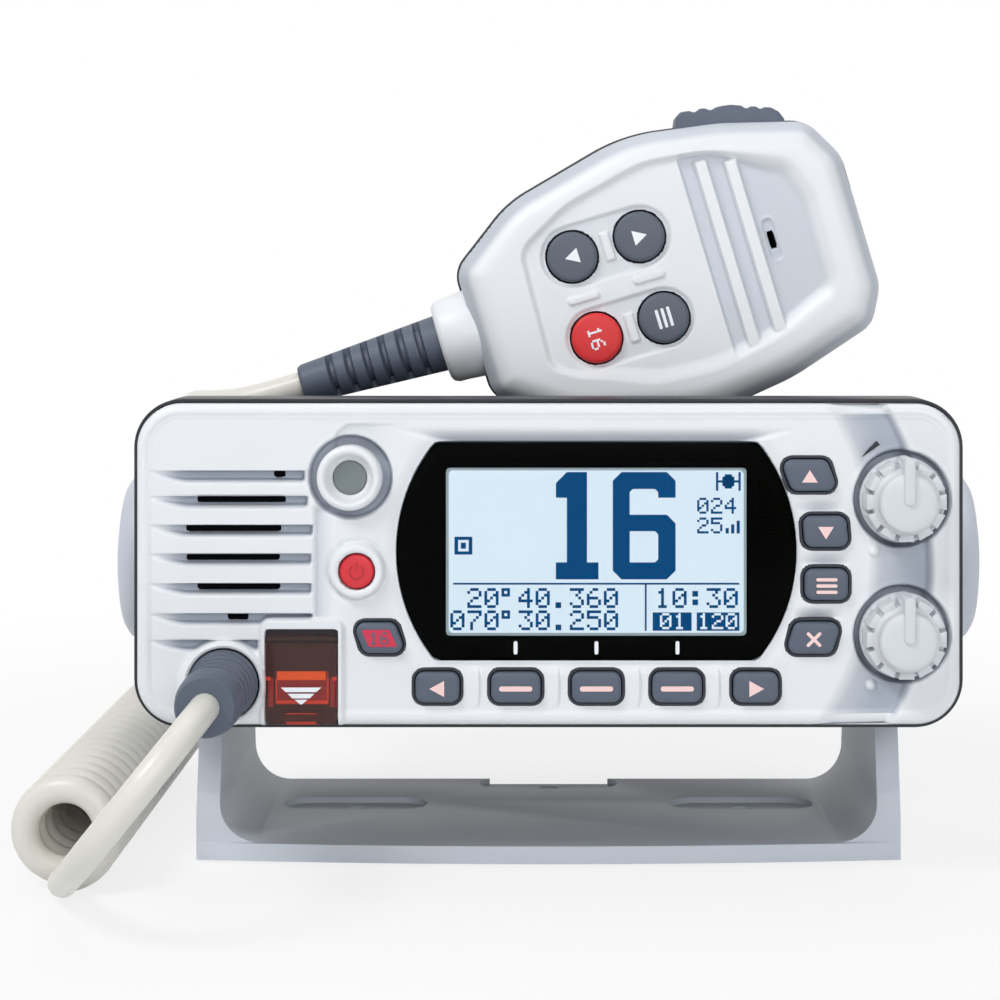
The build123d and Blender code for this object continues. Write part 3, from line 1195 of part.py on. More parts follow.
def ptt_slot():
    """The room that the push-to-talk bar moves in."""
    floor = -PTT_SUNK - PTT_TRAVEL - MOVE_GAP
    return ptt_block(PTT_L + 2 * MOVE_GAP, floor, PTT_OUT, PTT_DEPTH + 2 * MOVE_GAP)


def make_mic_front_shell():
    """Front half: sloping band round a dished face with ribs, key wells and the sound slot."""
    with BuildPart() as shell:
        with BuildSketch(mic_plane(0)):
            add(mic_outline())
        extrude(amount=MIC_FRONT_T, taper=MIC_TAPER)
        fillet(shell.faces().sort_by(Axis.Y)[0].outer_wire().edges(), MIC_EDGE_R)
        with BuildSketch(mic_plane(-MIC_FRONT_T)):
            add(mic_outline(-MIC_FACE_INSET))
        extrude(amount=-MIC_DISH, taper=MIC_DISH_TAPER, mode=Mode.SUBTRACT)
        with BuildSketch(mic_plane(-MIC_FRONT_T + MIC_DISH)):
            for reach, length in MIC_RIBS:
                with Locations((MIC_L - reach, 0)):
                    Rectangle(MIC_RIB_W, length)
        extrude(amount=MIC_RIB_PROUD)
        with BuildSketch(mic_plane(-MIC_FRONT_T + MIC_DISH)):
            with Locations((MIC_PLATEAU_U, MIC_PLATEAU_W)):
                RectangleRounded(MIC_PLATEAU_L, MIC_PLATEAU_H, MIC_PLATEAU_R)
        extrude(amount=MIC_PLATEAU_PROUD)
        with BuildSketch(mic_plane(0)):
            add(mic_outline(-MIC_WALL))
        extrude(amount=MIC_CEILING, taper=MIC_TAPER, mode=Mode.SUBTRACT)
        with BuildSketch(neck_plane()):
            Circle(MIC_NECK_R)
        extrude(amount=MIC_NECK_L + MIC_NECK_IN)
        with BuildSketch(neck_plane()):
            Circle(MIC_BOOT_END_R + MIC_BOOT_PLUG_GROW + FIT)
        extrude(amount=MIC_NECK_L + MIC_NECK_IN + MIC_NECK_DEEPER, mode=Mode.SUBTRACT)
        with BuildSketch(mic_plane(-MIC_FRONT_T)):
            with Locations([(u, w) for u in MIC_KEY_US for w in MIC_KEY_WS]):
                Circle(MIC_KEY_R + MOVE_GAP)
            with Locations((MIC_SLOT_U, MIC_SLOT_W)):
                RectangleRounded(*MIC_SLOT_SIZE, MIC_SLOT_R)
        extrude(amount=MIC_WALL - MIC_FRONT_T, mode=Mode.SUBTRACT)
        add(ptt_slot(), mode=Mode.SUBTRACT)
    return shell


def make_mic_rear_shell():
    """Rear half: deep rounded back with grip ribs."""
    with BuildPart() as shell:
        with BuildSketch(mic_plane(SHEET_GAP)):
            add(mic_outline(MIC_REAR_GROW))
        extrude(amount=-(MIC_REAR_T - SHEET_GAP), taper=MIC_TAPER)
        fillet(shell.faces().sort_by(Axis.Y)[-1].outer_wire().edges(), MIC_REAR_EDGE_R)
        with BuildSketch(mic_plane(SHEET_GAP)):
            add(mic_outline(-MIC_WALL))
        extrude(amount=-(MIC_REAR_T - MIC_WALL - SHEET_GAP), taper=MIC_TAPER, mode=Mode.SUBTRACT)
        with BuildSketch(neck_plane()):
            Circle(MIC_NECK_R + FIT)
        extrude(amount=MIC_NECK_L + MIC_NECK_REAR_IN, mode=Mode.SUBTRACT)
        add(ptt_slot(), mode=Mode.SUBTRACT)
        with BuildSketch(mic_plane(MIC_REAR_T - MIC_WALL)):
            with Locations((MIC_BOARD_U, 0)):
                with GridLocations(*MIC_POST_GRID, 2, 2):
                    Circle(MIC_POST_R)
        extrude(amount=MIC_REAR_T - MIC_WALL - MIC_BOARD_DEPTH - SHEET_GAP)
    return shell


def make_ptt_key():
    """Ridged push-to-talk bar in the microphone's upper edge."""
    with BuildPart() as key:
        add(ptt_block(PTT_L, -PTT_SUNK, PTT_PROUD - PTT_RIDGE_PROUD, PTT_DEPTH))
        with BuildSketch(mic_plane(PTT_DEPTH / 2)):
            with Locations(Location((PTT_U, PTT_W, 0), (0, 0, PTT_TURN))):
                with Locations((0, PTT_PROUD - PTT_RIDGE_PROUD)):
                    with GridLocations(PTT_RIDGE_PITCH, 1, PTT_RIDGES, 1):
                        Circle(PTT_RIDGE_R)
        extrude(amount=PTT_DEPTH)
    return key


def make_mic_key(u, w):
    """One round key of the microphone."""
    face = -MIC_FRONT_T + MIC_DISH - MIC_PLATEAU_PROUD - MIC_KEY_PROUD
    with BuildPart() as key:
        with BuildSketch(mic_plane(face)):
            with Locations((u, w)):
                Circle(MIC_KEY_R)
        extrude(amount=-(MIC_KEY_PROUD + MIC_KEY_DEPTH))
        fillet(key.faces().sort_by(Axis.Y)[0].outer_wire().edges(), KEY_EDGE_R)
        with BuildSketch(mic_plane(-MIC_CEILING + SHEET_GAP)):
            with Locations((u, w)):
                Circle(MIC_KEY_R + MIC_KEY_FLANGE)
        extrude(amount=-MIC_KEY_FLANGE_T)
        with BuildSketch(mic_plane(-MIC_CEILING + SHEET_GAP)):
            with Locations((u, w)):
                Circle(MIC_KEY_STEM_R)
        extrude(amount=-(MIC_CEILING - SHEET_GAP + MIC_BOARD_DEPTH - BOARD_T - KEY_TRAVEL - SHEET_GAP))
    return key


def make_mic_board():
    """Small board inside the microphone."""
    with BuildPart() as board:
        with BuildSketch(mic_plane(MIC_BOARD_DEPTH - BOARD_T)):
            with Locations((MIC_BOARD_U, 0)):
                RectangleRounded(MIC_BOARD_L, MIC_BOARD_H, MIC_BOARD_R)
        extrude(amount=-BOARD_T)
    return board


def make_mic_capsule():
    """Microphone capsule behind the sound slot."""
    with BuildPart() as capsule:
        with BuildSketch(mic_plane(-MIC_FRONT_T + MIC_DISH + MIC_WALL + SHEET_GAP)):
            with Locations((MIC_SLOT_U, 0)):
                Circle(MIC_CAPSULE_R)
        extrude(amount=-MIC_CAPSULE_L)
    return capsule


def make_mic_boot():
    """Slotted rubber strain relief at the microphone's neck."""
    with BuildPart() as boot:
        with BuildSketch(neck_plane()):
            Circle(MIC_BOOT_R)
        extrude(amount=-MIC_BOOT_L, taper=degrees(atan2(MIC_BOOT_R - MIC_BOOT_END_R, MIC_BOOT_L)))
        for ring in range(MIC_BOOT_RINGS):
            reach = MIC_BOOT_RING_START + MIC_BOOT_RING_PITCH * ring
            floor_r = MIC_BOOT_R - MIC_BOOT_RING_DEPTH - reach * (MIC_BOOT_R - MIC_BOOT_END_R) / MIC_BOOT_L
            with BuildSketch(neck_plane(-reach)):
                Circle(MIC_NECK_R)
                Circle(floor_r, mode=Mode.SUBTRACT)
            extrude(amount=-MIC_BOOT_RING_GAP, mode=Mode.SUBTRACT)
        with BuildSketch(neck_plane()):
            Circle(MIC_BOOT_END_R + MIC_BOOT_PLUG_GROW)
        extrude(amount=MIC_NECK_L + MIC_NECK_REAR_IN)
    return boot


def make_mic_hanger_button():
    """Mushroom button on the microphone's back."""
    with BuildPart() as button:
        with BuildSketch(mic_plane(MIC_REAR_T)):
            with Locations((HOOK_U, 0)):
                Circle(HOOK_R - HOOK_STEM_IN)
        extrude(amount=-(HOOK_L - HOOK_CAP_T))
        with BuildSketch(mic_plane(MIC_REAR_T + HOOK_L - HOOK_CAP_T)):
            with Locations((HOOK_U, 0)):
                Circle(HOOK_R)
        extrude(amount=-HOOK_CAP_T)
    return button


MIC_SCREW_PLACES = [(20.0, side * 12.0) for side in (1, -1)]
MIC_SCREW_PLACES += [(MIC_L - 14.5, side * 16.0) for side in (1, -1)]


def make_mic_screws():
    """Screw heads in the microphone's back."""
    with BuildPart() as screws:
        with BuildSketch(mic_plane(MIC_REAR_T)):
            with Locations(MIC_SCREW_PLACES):
                Circle(MIC_SCREW_R)
        extrude(amount=-MIC_SCREW_T)
    return screws


# ---------------------------------------------------------------- cord
def lead_tube(points, name):
    """A plain stretch of cord: straight runs joined by arcs as large as the runs allow."""
    vectors = [Vector(point) for point in points]
    radii = []
    for before, at, after in zip(vectors, vectors[1:], vectors[2:]):
        run = min((at - before).length, (after - at).length)
        turn = (at - before).get_angle(after - at)
        radii.append(0.45 * run / tan(radians(turn / 2)))
    print(name, "radii", [round(radius, 1) for radius in radii])
    with BuildPart() as tube:
        with BuildLine() as path:
            FilletPolyline(*vectors, radius=radii)
        with BuildSketch(Plane(origin=path.wire() @ 0, z_dir=path.wire() % 0)):
            Circle(CORD_D / 2)
        sweep(path=path.wire())
    expected = path.wire().length * pi * (CORD_D / 2) ** 2
    print(name, "length", round(path.wire().length, 1), "volume ratio", round(tube.part.volume / expected, 4))
    return tube


BOOT_END_Y = PANEL_FACE_Y - BOOT_L
BOOT_WORLD_Z = PANEL_MID_Z + BOOT_Z
MIC_BOOT_END = neck_plane(-MIC_BOOT_L).origin
COIL_BACK_Y = COIL_FRONT_Y + COIL_L

# where the front lead meets the coil, on its wall near the ground
COIL_LEAD_X, COIL_LEAD_Z = -103.4, 3.9
# from the boot on the panel, forward and down to the front of the coil
LEAD_FRONT = [
    (BOOT_X, BOOT_END_Y, BOOT_WORLD_Z),
    (BOOT_X, -96.5, BOOT_WORLD_Z),
    (-74.6, -105.8, 39.5),
    (-81.4, -109.8, 31.1),
    (-88.5, -106.8, 22.3),
    (-94.2, -97.6, 15.2),
    (-98.9, -83.5, 9.4),
    (COIL_LEAD_X, -69.0, COIL_LEAD_Z),
    (COIL_LEAD_X, COIL_FRONT_Y, COIL_LEAD_Z),
]
# where the two stretches of the rear lead meet, beside the radio's rear
LEAD_JOIN = (-99.4, 80.0, 69.5)
# from the top of the coil's back, up beside the radio
LEAD_REAR_LOWER = [
    (COIL_X, COIL_BACK_Y, 21.0),
    (COIL_X, 84.0, 21.0),
    (-104.4, 96.0, 25.6),
    (-103.6, 103.6, 36.4),
    (-102.4, 103.2, 50.0),
    (-101.2, 94.6, 60.6),
    LEAD_JOIN,
]
# and over the top of the radio to the microphone's boot
LEAD_REAR_UPPER = [
    LEAD_JOIN,
    (-97.6, 65.4, 78.4),
    (-95.4, 50.6, 86.4),
    (-93.4, 35.6, 93.0),
    (-90.8, 21.6, 98.0),
    (-87.8, 8.5, 101.2),
    (-84.2, -3.2, 102.6),
    (-78.6, -13.0, 102.8),
    neck_plane(-MIC_BOOT_L - 12.5).origin,
    MIC_BOOT_END,
]


def make_cord_coil():
    """The coiled stretch, as one closed solid of its outer shape."""
    with BuildPart() as coil:
        with BuildSketch(Plane.XZ.offset(-COIL_FRONT_Y)):
            with Locations((COIL_X, COIL_Z)):
                Circle(COIL_R)
        extrude(amount=-COIL_L)
    return coil


# ---------------------------------------------------------------- build and write
pieces = {
    "mounting_bracket": make_bracket(),
    "front_panel": make_front_panel(),
    "panel_surround": make_surround(),
    "panel_screws": make_panel_screws(),
    "rear_chassis": make_chassis(),
    "side_inserts": make_side_inserts(),
    "bracket_washers": make_bracket_washers(),
    "main_board": make_main_board(),
    "antenna_socket": make_antenna_socket(),
    "antenna_insulator": make_antenna_insulator(),
    "rear_glands": make_rear_glands(),
    "display_window": make_display_window(),
    "display_mask": make_display_mask(),
    "lcd_module": make_lcd_module(),
    "speaker": make_speaker(),
    "speaker_screen": make_speaker_screen(),
    "power_button": make_power_button(),
    "key_mat": make_key_mat(),
    "front_board": make_front_board(),
    "encoders": make_encoders(),
    "hanger_stud": make_hanger_stud(),
    "hanger_plug": make_hanger_plug(),
    "distress_cover": make_distress_cover(),
    "cover_pin": make_cover_pin(),
    "distress_key": make_distress_key(),
    "panel_cord_boot": make_panel_cord_boot(),
    "mic_front_shell": make_mic_front_shell(),
    "mic_rear_shell": make_mic_rear_shell(),
    "ptt_key": make_ptt_key(),
    "mic_board": make_mic_board(),
    "mic_capsule": make_mic_capsule(),
    "mic_boot": make_mic_boot(),
    "mic_hanger_button": make_mic_hanger_button(),
    "mic_screws": make_mic_screws(),
    "mic_up_key": make_mic_key(MIC_KEY_US[1], MIC_KEY_WS[0]),
    "mic_down_key": make_mic_key(MIC_KEY_US[0], MIC_KEY_WS[0]),
    "mic_channel_key": make_mic_key(MIC_KEY_US[0], MIC_KEY_WS[1]),
    "mic_power_key": make_mic_key(MIC_KEY_US[1], MIC_KEY_WS[1]),
    "cord_coil": make_cord_coil(),
    "cord_lead_front": lead_tube(LEAD_FRONT, "front lead"),
    "cord_lead_rear_lower": lead_tube(LEAD_REAR_LOWER, "rear lead, lower"),
    "cord_lead_rear_upper": lead_tube(LEAD_REAR_UPPER, "rear lead, upper"),
}
for name, key in KEYS.items():
    pieces[name] = make_key(*key)
for name, z in KNOB_ZS.items():
    pieces[name + "_knob"] = make_knob(z)
    pieces[name + "_shaft"] = make_shaft(z)
for name, side in {"left": -1, "right": 1}.items():
    pieces[name + "_knob"] = make_hand_knob(side)
    pieces[name + "_knob_stud"] = make_hand_knob_stud(side)

for name, piece in pieces.items():
    piece.part.label = name
    export_step(piece.part, f"parts/{name}.step")
print(len(pieces), "pieces written")
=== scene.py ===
"""Dresses the VHF marine radio: its pieces, finishes, cord, display and studio."""

import math

import bmesh
import bpy
import numpy as np
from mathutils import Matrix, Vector


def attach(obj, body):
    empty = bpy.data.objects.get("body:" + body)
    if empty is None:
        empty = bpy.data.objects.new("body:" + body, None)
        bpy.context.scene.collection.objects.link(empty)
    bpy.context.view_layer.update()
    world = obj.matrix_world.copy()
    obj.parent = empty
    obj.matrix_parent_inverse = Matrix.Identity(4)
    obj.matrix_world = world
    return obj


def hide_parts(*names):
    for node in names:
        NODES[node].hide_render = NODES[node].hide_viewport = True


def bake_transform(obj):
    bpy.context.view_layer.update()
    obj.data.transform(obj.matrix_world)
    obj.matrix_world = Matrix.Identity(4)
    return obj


bl_info = {
    "name": "VHF Marine Radio",
    "version": (1, 0, 0),
    "blender": (4, 5, 0),
    "location": "View3D > Sidebar > Radio",
    "description": "Builds the dressed pieces of a fixed-mount VHF marine radio",
    "category": "Object",
}

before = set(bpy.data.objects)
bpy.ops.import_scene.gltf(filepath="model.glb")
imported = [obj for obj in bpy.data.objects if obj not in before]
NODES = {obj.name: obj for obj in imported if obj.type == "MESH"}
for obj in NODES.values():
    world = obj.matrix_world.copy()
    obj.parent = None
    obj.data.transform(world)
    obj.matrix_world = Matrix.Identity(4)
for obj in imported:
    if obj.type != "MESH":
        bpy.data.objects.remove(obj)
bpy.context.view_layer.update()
MM = 0.001

# panel: everything below is in millimetres, x and z from the middle of the panel's face
FACE_Y = -58.0
MID_Z = 70.4
PANEL_W, PANEL_H, PANEL_R = 179.2, 69.9, 9.6
EDGE_R = 1.8
SKIRT_DEPTH = 4.6
HOLE_DEPTH = 3.3
HANGER = (-43.1, 19.0)
POWER = (-41.6, -1.3)
KNOB_X = 76.9
KNOB_ZS = {"volume": 14.2, "squelch": -15.3}
BOOT = (-70.5, -25.8)
WINDOW_MID = (10.4, 2.9)
WINDOW_HALF_W, WINDOW_HALF_TOP, WINDOW_HALF_H = 43.5, 35.0, 23.7
LCD_MID_Z = 2.65
LCD_HALF_W, LCD_HALF_H = 32.75, 18.3
KEYS = {
    "channel_key": (-36.7, -15.8, 9.2, 6.6, 2.6),
    "soft_key_left": (-24.1, -26.5, 9.5, 6.6, 0.0),
    "soft_key_1": (-7.1, -26.5, 10.7, 6.6, 0.0),
    "soft_key_2": (10.4, -26.5, 10.7, 6.6, 0.0),
    "soft_key_3": (27.9, -26.5, 10.7, 6.6, 0.0),
    "soft_key_right": (45.0, -26.5, 9.7, 6.6, 0.0),
    "up_key": (56.6, 19.5, 10.2, 6.8, 2.6),
    "down_key": (60.1, 7.3, 9.5, 6.8, 0.6),
    "menu_key": (60.3, -4.2, 9.4, 6.8, 0.0),
    "clear_key": (57.5, -15.8, 10.2, 6.8, -2.2),
}
KEY_R = 1.9
KEY_RING = 0.8
KEY_PROUD = 1.3
SLOTS = [(-58.7, 19.6, 2.6), (-67.0, 14.1, 19.4), (-68.7, 7.8, 20.8), (-68.8, 1.5, 20.4),
         (-67.6, -4.9, 18.2), (-67.8, -11.5, 4.6)]
COVER_X, COVER_LOW, COVER_HIGH, COVER_W = -53.6, -34.5, -15.2, 15.4
COVER_PROUD, COVER_T = 1.2, 1.5
COVER_HINGE_Z = -14.9
WELL_HALF_W, WELL_TOP = 8.0, -13.8

# microphone: u along it from its neck, w across it, p towards the user
MIC_AT = (-24.7, -18.0, 117.5)
MIC_TURN = math.radians(16.8)
MIC_L = 100.5
MIC_FRONT_T = 14.5
MIC_KEYS = {
    "mic_up_key": (50.7, 10.4, "mic_grey", "right"),
    "mic_down_key": (34.6, 10.4, "mic_grey", "left"),
    "mic_channel_key": (34.6, -9.0, "red_rubber", "digits"),
    "mic_power_key": (50.7, -9.0, "mic_grey", "bars"),
}
MIC_KEY_R = 5.75

# cord
CORD_D = 6.2
COIL_X, COIL_Z = -104.8, 12.4
COIL_LINE_R = 9.3
LEAD_FRONT = [
    (-70.5, -86.0, 44.6), (-70.5, -96.5, 44.6), (-74.6, -105.8, 39.5), (-81.4, -109.8, 31.1),
    (-88.5, -106.8, 22.3), (-94.2, -97.6, 15.2), (-98.9, -83.5, 9.4), (-103.4, -69.0, 3.9),
    (-103.4, -58.0, 3.9),
]
LEAD_JOIN = (-99.4, 80.0, 69.5)
LEAD_REAR_LOWER = [
    (-104.8, 72.0, 21.0), (-104.8, 84.0, 21.0), (-104.4, 96.0, 25.6), (-103.6, 103.6, 36.4),
    (-102.4, 103.2, 50.0), (-101.2, 94.6, 60.6), LEAD_JOIN,
]
LEAD_REAR_UPPER = [
    LEAD_JOIN, (-97.6, 65.4, 78.4), (-95.4, 50.6, 86.4), (-93.4, 35.6, 93.0), (-90.8, 21.6, 98.0),
    (-87.8, 8.5, 101.2), (-84.2, -3.2, 102.6), (-78.6, -13.0, 102.8), (-69.6, -18.0, 103.95),
    (-57.63, -18.0, 107.56),
]

# hand knobs: where their hubs start, and the height of the tilt axis
BRACKET_KNOB_X = 80.7
TILT_Z = 65.3

# camera and stage
CAMERA_AT = (0.0, -558.0, 134.0)
CAMERA_LENS = 82.9
CAMERA_SHIFT = (-0.0485, -0.228)


# ---------------------------------------------------------------- small helpers
def on_panel(x, z, proud=0.0):
    """A point on the panel, standing proud of its face."""
    return (x, FACE_Y - proud, MID_Z + z)


def on_mic(u, w, p=0.0):
    """A point of the microphone, p in front of its parting line."""
    return (
        MIC_AT[0] + u * math.cos(MIC_TURN) - w * math.sin(MIC_TURN),
        MIC_AT[1] - p,
        MIC_AT[2] + u * math.sin(MIC_TURN) + w * math.cos(MIC_TURN),
    )


def make_object(name, points, faces, materials, slots=None, sharp=35.0):
    """A mesh object from points in millimetres, shaded smooth up to an angle."""
    mesh = bpy.data.meshes.new(name)
    mesh.from_pydata((np.asarray(points, float) * MM).tolist(), [], [tuple(f) for f in faces])
    obj = bpy.data.objects.new(name, mesh)
    bpy.context.scene.collection.objects.link(obj)
    for finish in materials:
        mesh.materials.append(finish)
    if slots is not None:
        mesh.polygons.foreach_set("material_index", np.asarray(slots, np.int32))
    smooth(obj, sharp)
    mesh.update()
    return obj


def smooth(obj, sharp):
    """Shades an object smooth up to an angle."""
    obj.data.polygons.foreach_set("use_smooth", np.ones(len(obj.data.polygons), bool))
    obj.data.set_sharp_from_angle(angle=math.radians(sharp))
    return obj


def outward(obj):
    """Merges doubles and turns the faces of a closed shape outwards."""
    shape = bmesh.new()
    shape.from_mesh(obj.data)
    bmesh.ops.remove_doubles(shape, verts=shape.verts, dist=1e-6)
    bmesh.ops.recalc_face_normals(shape, faces=shape.faces)
    shape.to_mesh(obj.data)
    shape.free()
    obj.data.update()
    return obj


def closed_shape(name, points, faces, materials, sharp):
    """A closed mesh object with its faces turned outwards."""
    obj = outward(make_object(name, points, faces, materials, sharp=sharp))
    obj.data.set_sharp_from_angle(angle=math.radians(sharp))
    return obj


def tube_faces(rows, sides, closed=True):
    """Faces between rings of points that follow each other, and one over each end."""
    faces = []
    for row in range(rows - 1):
        for i in range(sides):
            j = (i + 1) % sides
            faces.append((row * sides + i, row * sides + j, (row + 1) * sides + j, (row + 1) * sides + i))
    if closed:
        last = (rows - 1) * sides
        faces.append(tuple(range(sides))[::-1])
        faces.append(tuple(range(last, last + sides)))
    return faces


def join(name, pieces, sharp=35.0):
    """Joins objects into one, keeping each one's materials."""
    points, faces, slots, materials = [], [], [], []
    for piece in pieces:
        base = len(points)
        points.extend(np.array(v.co) / MM for v in piece.data.vertices)
        remap = []
        for finish in piece.data.materials:
            if finish not in materials:
                materials.append(finish)
            remap.append(materials.index(finish))
        for face in piece.data.polygons:
            faces.append([base + i for i in face.vertices])
            slots.append(remap[face.material_index] if remap else 0)
        bpy.data.objects.remove(piece)
    return make_object(name, points, faces, materials, slots, sharp)


def frame_axes(direction):
    """Two directions across a direction."""
    d = Vector(direction).normalized()
    side = d.cross(Vector((0, 0, 1)))
    if side.length < 0.2:
        side = d.cross(Vector((1, 0, 0)))
    side.normalize()
    return side, side.cross(d).normalized()


def turned(name, profile, origin, direction, finish, sides=72, closed=True, sharp=35.0):
    """A turned shape: profile is (radius, distance along direction) from one end to the other."""
    side, up = frame_axes(direction)
    d = Vector(direction).normalized()
    angles = np.linspace(0, 2 * math.pi, sides, endpoint=False)
    points = []
    for radius, along in profile:
        middle = Vector(origin) + d * along
        for angle in angles:
            points.append(middle + side * (radius * math.cos(angle)) + up * (radius * math.sin(angle)))
    faces = tube_faces(len(profile), sides, closed)
    return closed_shape(name, [tuple(p) for p in points], faces, [finish], sharp)


def round_edge(radius, along, fillet, steps=5):
    """Profile points of a quarter round from the side of a turned shape onto its end."""
    turn = np.linspace(0, math.pi / 2, steps)
    return [(radius - fillet * (1 - math.cos(t)), along - fillet * (1 - math.sin(t))) for t in turn]


def rounded_outline(corners, radii, step=0.35):
    """A closed outline through corners, each rounded to its radius."""
    count = len(corners)
    points = []
    for i, radius in enumerate(radii):
        before = Vector(corners[i - 1]).to_2d()
        at = Vector(corners[i]).to_2d()
        after = Vector(corners[(i + 1) % count]).to_2d()
        a, b = (before - at).normalized(), (after - at).normalized()
        half = math.acos(max(-1, min(1, a.dot(b)))) / 2
        reach = min(radius / math.tan(half), 0.49 * min((before - at).length, (after - at).length))
        real = reach * math.tan(half)
        if real < 1e-3:
            points.append(tuple(at))
            continue
        middle = at + (a + b).normalized() * (real / math.sin(half))
        start, end = at + a * reach - middle, at + b * reach - middle
        angle = math.pi - 2 * half
        steps = max(3, int(real * angle / step))
        sign = 1 if start.x * end.y - start.y * end.x > 0 else -1
        for k in range(steps + 1):
            t = sign * angle * k / steps
            points.append((middle.x + start.x * math.cos(t) - start.y * math.sin(t),
                           middle.y + start.x * math.sin(t) + start.y * math.cos(t)))
    return np.array(points)


def key_outline(x, z, width, height, lean, grow=0.0):
    """A key's outline with leaning sides."""
    half_w, half_h, shift = width / 2 + grow, height / 2 + grow, lean / 2
    corners = [(x - half_w + shift, z - half_h), (x + half_w + shift, z - half_h),
               (x + half_w - shift, z + half_h), (x - half_w - shift, z + half_h)]
    return rounded_outline(corners, [KEY_R + grow] * 4)


def box_outline(x, z, half_w, half_h, radius):
    """A rounded rectangle."""
    corners = [(x - half_w, z - half_h), (x + half_w, z - half_h), (x + half_w, z + half_h),
               (x - half_w, z + half_h)]
    return rounded_outline(corners, [radius] * 4)


def circle_outline(x, z, radius, sides=96):
    """A circle."""
    t = np.linspace(0, 2 * math.pi, sides, endpoint=False)
    return np.stack([x + radius * np.cos(t), z + radius * np.sin(t)], 1)


def window_outline(grow=0.0):
    """The display window: flat top and bottom, bulging sides."""
    half_w, half_top, half_h = WINDOW_HALF_W + grow, WINDOW_HALF_TOP + grow, WINDOW_HALF_H + grow
    bulge = half_w - half_top
    arc_r = (half_h ** 2 + bulge ** 2) / (2 * bulge)
    reach = math.asin(half_h / arc_r)
    corners, radii = [], []
    for side in (1, -1):
        for t in np.linspace(-reach, reach, 25):
            corners.append((WINDOW_MID[0] + side * (half_w - arc_r + arc_r * math.cos(t)),
                            WINDOW_MID[1] + side * arc_r * math.sin(t)))
            radii.append(2.6 if abs(abs(t) - reach) < 1e-9 else 0.0)
    return rounded_outline(corners, radii)


def distance(x, z, outline, reach=None):
    """Signed distance of points to an outline, negative inside."""
    shape = x.shape
    px, pz = x.ravel(), z.ravel()
    result = np.full(px.shape, 99.0)
    pick = np.ones(px.shape, bool)
    if reach is not None:
        low, high = outline.min(0) - reach, outline.max(0) + reach
        pick = (px > low[0]) & (px < high[0]) & (pz > low[1]) & (pz < high[1])
    qx, qz = px[pick], pz[pick]
    best = np.full(qx.shape, 1e9)
    inside = np.zeros(qx.shape, bool)
    following = np.roll(outline, -1, axis=0)
    for (ax, az), (bx, bz) in zip(outline, following):
        dx, dz = bx - ax, bz - az
        length2 = dx * dx + dz * dz
        if length2 < 1e-12:
            continue
        t = np.clip(((qx - ax) * dx + (qz - az) * dz) / length2, 0, 1)
        best = np.minimum(best, (qx - ax - t * dx) ** 2 + (qz - az - t * dz) ** 2)
        crosses = (az > qz) != (bz > qz)
        if dz != 0:
            inside ^= crosses & (qx < ax + (qz - az) * dx / dz)
    signed = np.sqrt(best)
    signed[inside] *= -1
    result[pick] = signed
    return result.reshape(shape)


def ease(t):
    """Smooth step from 0 to 1."""
    t = np.clip(t, 0, 1)
    return t * t * (3 - 2 * t)


def plate(name, outline, place, back, front, bevel, finishes, crown=0.0, sharp=30.0):
    """A plate with a rounded front edge: place maps (x, z, proud) to space."""
    middle = outline.mean(0)
    rings, points, faces = [], [], []
    steps = 5
    levels = [(0.0, back)] + [(bevel * (1 - math.cos(t)), front - bevel * (1 - math.sin(t)))
                              for t in np.linspace(0, math.pi / 2, steps)]
    following = np.roll(outline, -1, axis=0) - np.roll(outline, 1, axis=0)
    normal = np.stack([following[:, 1], -following[:, 0]], 1)
    normal /= np.linalg.norm(normal, axis=1)[:, None] + 1e-12
    if ((outline - middle) * normal).sum() < 0:
        normal = -normal
    count = len(outline)
    for inset, level in levels:
        ring = outline - normal * inset
        rings.append(len(points))
        points.extend(place(x, z, level) for x, z in ring)
    top = outline - normal * bevel
    for share in (0.75, 0.5, 0.25):
        ring = middle + (top - middle) * share
        rings.append(len(points))
        points.extend(place(x, z, front + crown * (1 - share ** 2)) for x, z in ring)
    for a, b in zip(rings, rings[1:]):
        for i in range(count):
            j = (i + 1) % count
            faces.append((a + i, a + j, b + j, b + i))
    faces.append(tuple(range(rings[-1], rings[-1] + count)))
    faces.append(tuple(range(rings[0], rings[0] + count))[::-1])
    return closed_shape(name, points, faces, finishes, sharp)


def decal(name, outline, place, proud, finish):
    """A flat printed mark: its outline, just above a surface."""
    points = [place(x, z, proud) for x, z in outline]
    points += [place(x, z, proud - 0.06) for x, z in outline]
    count = len(outline)
    faces = [tuple(range(count)), tuple(range(count, 2 * count))[::-1]]
    faces += [(i, i + count, (i + 1) % count + count, (i + 1) % count) for i in range(count)]
    return outward(make_object(name, points, faces, [finish], sharp=30))


def soft_copy(name, node, finish, width, segments=2):
    """A copy of a CAD node with its sharp edges rounded."""
    shape = bmesh.new()
    shape.from_mesh(NODES[node].data)
    bmesh.ops.remove_doubles(shape, verts=shape.verts, dist=2e-6)
    bmesh.ops.dissolve_limit(shape, angle_limit=math.radians(0.6), verts=shape.verts, edges=shape.edges)
    mesh = bpy.data.meshes.new(name)
    shape.to_mesh(mesh)
    shape.free()
    mesh.materials.clear()
    mesh.materials.append(finish)
    obj = bpy.data.objects.new(name, mesh)
    bpy.context.scene.collection.objects.link(obj)
    bevel = obj.modifiers.new("Edges", "BEVEL")
    bevel.width = width * MM
    bevel.segments = segments
    bevel.limit_method = "ANGLE"
    bevel.angle_limit = math.radians(32)
    bevel.use_clamp_overlap = True
    return smooth(apply_modifiers(obj, finish), 28)


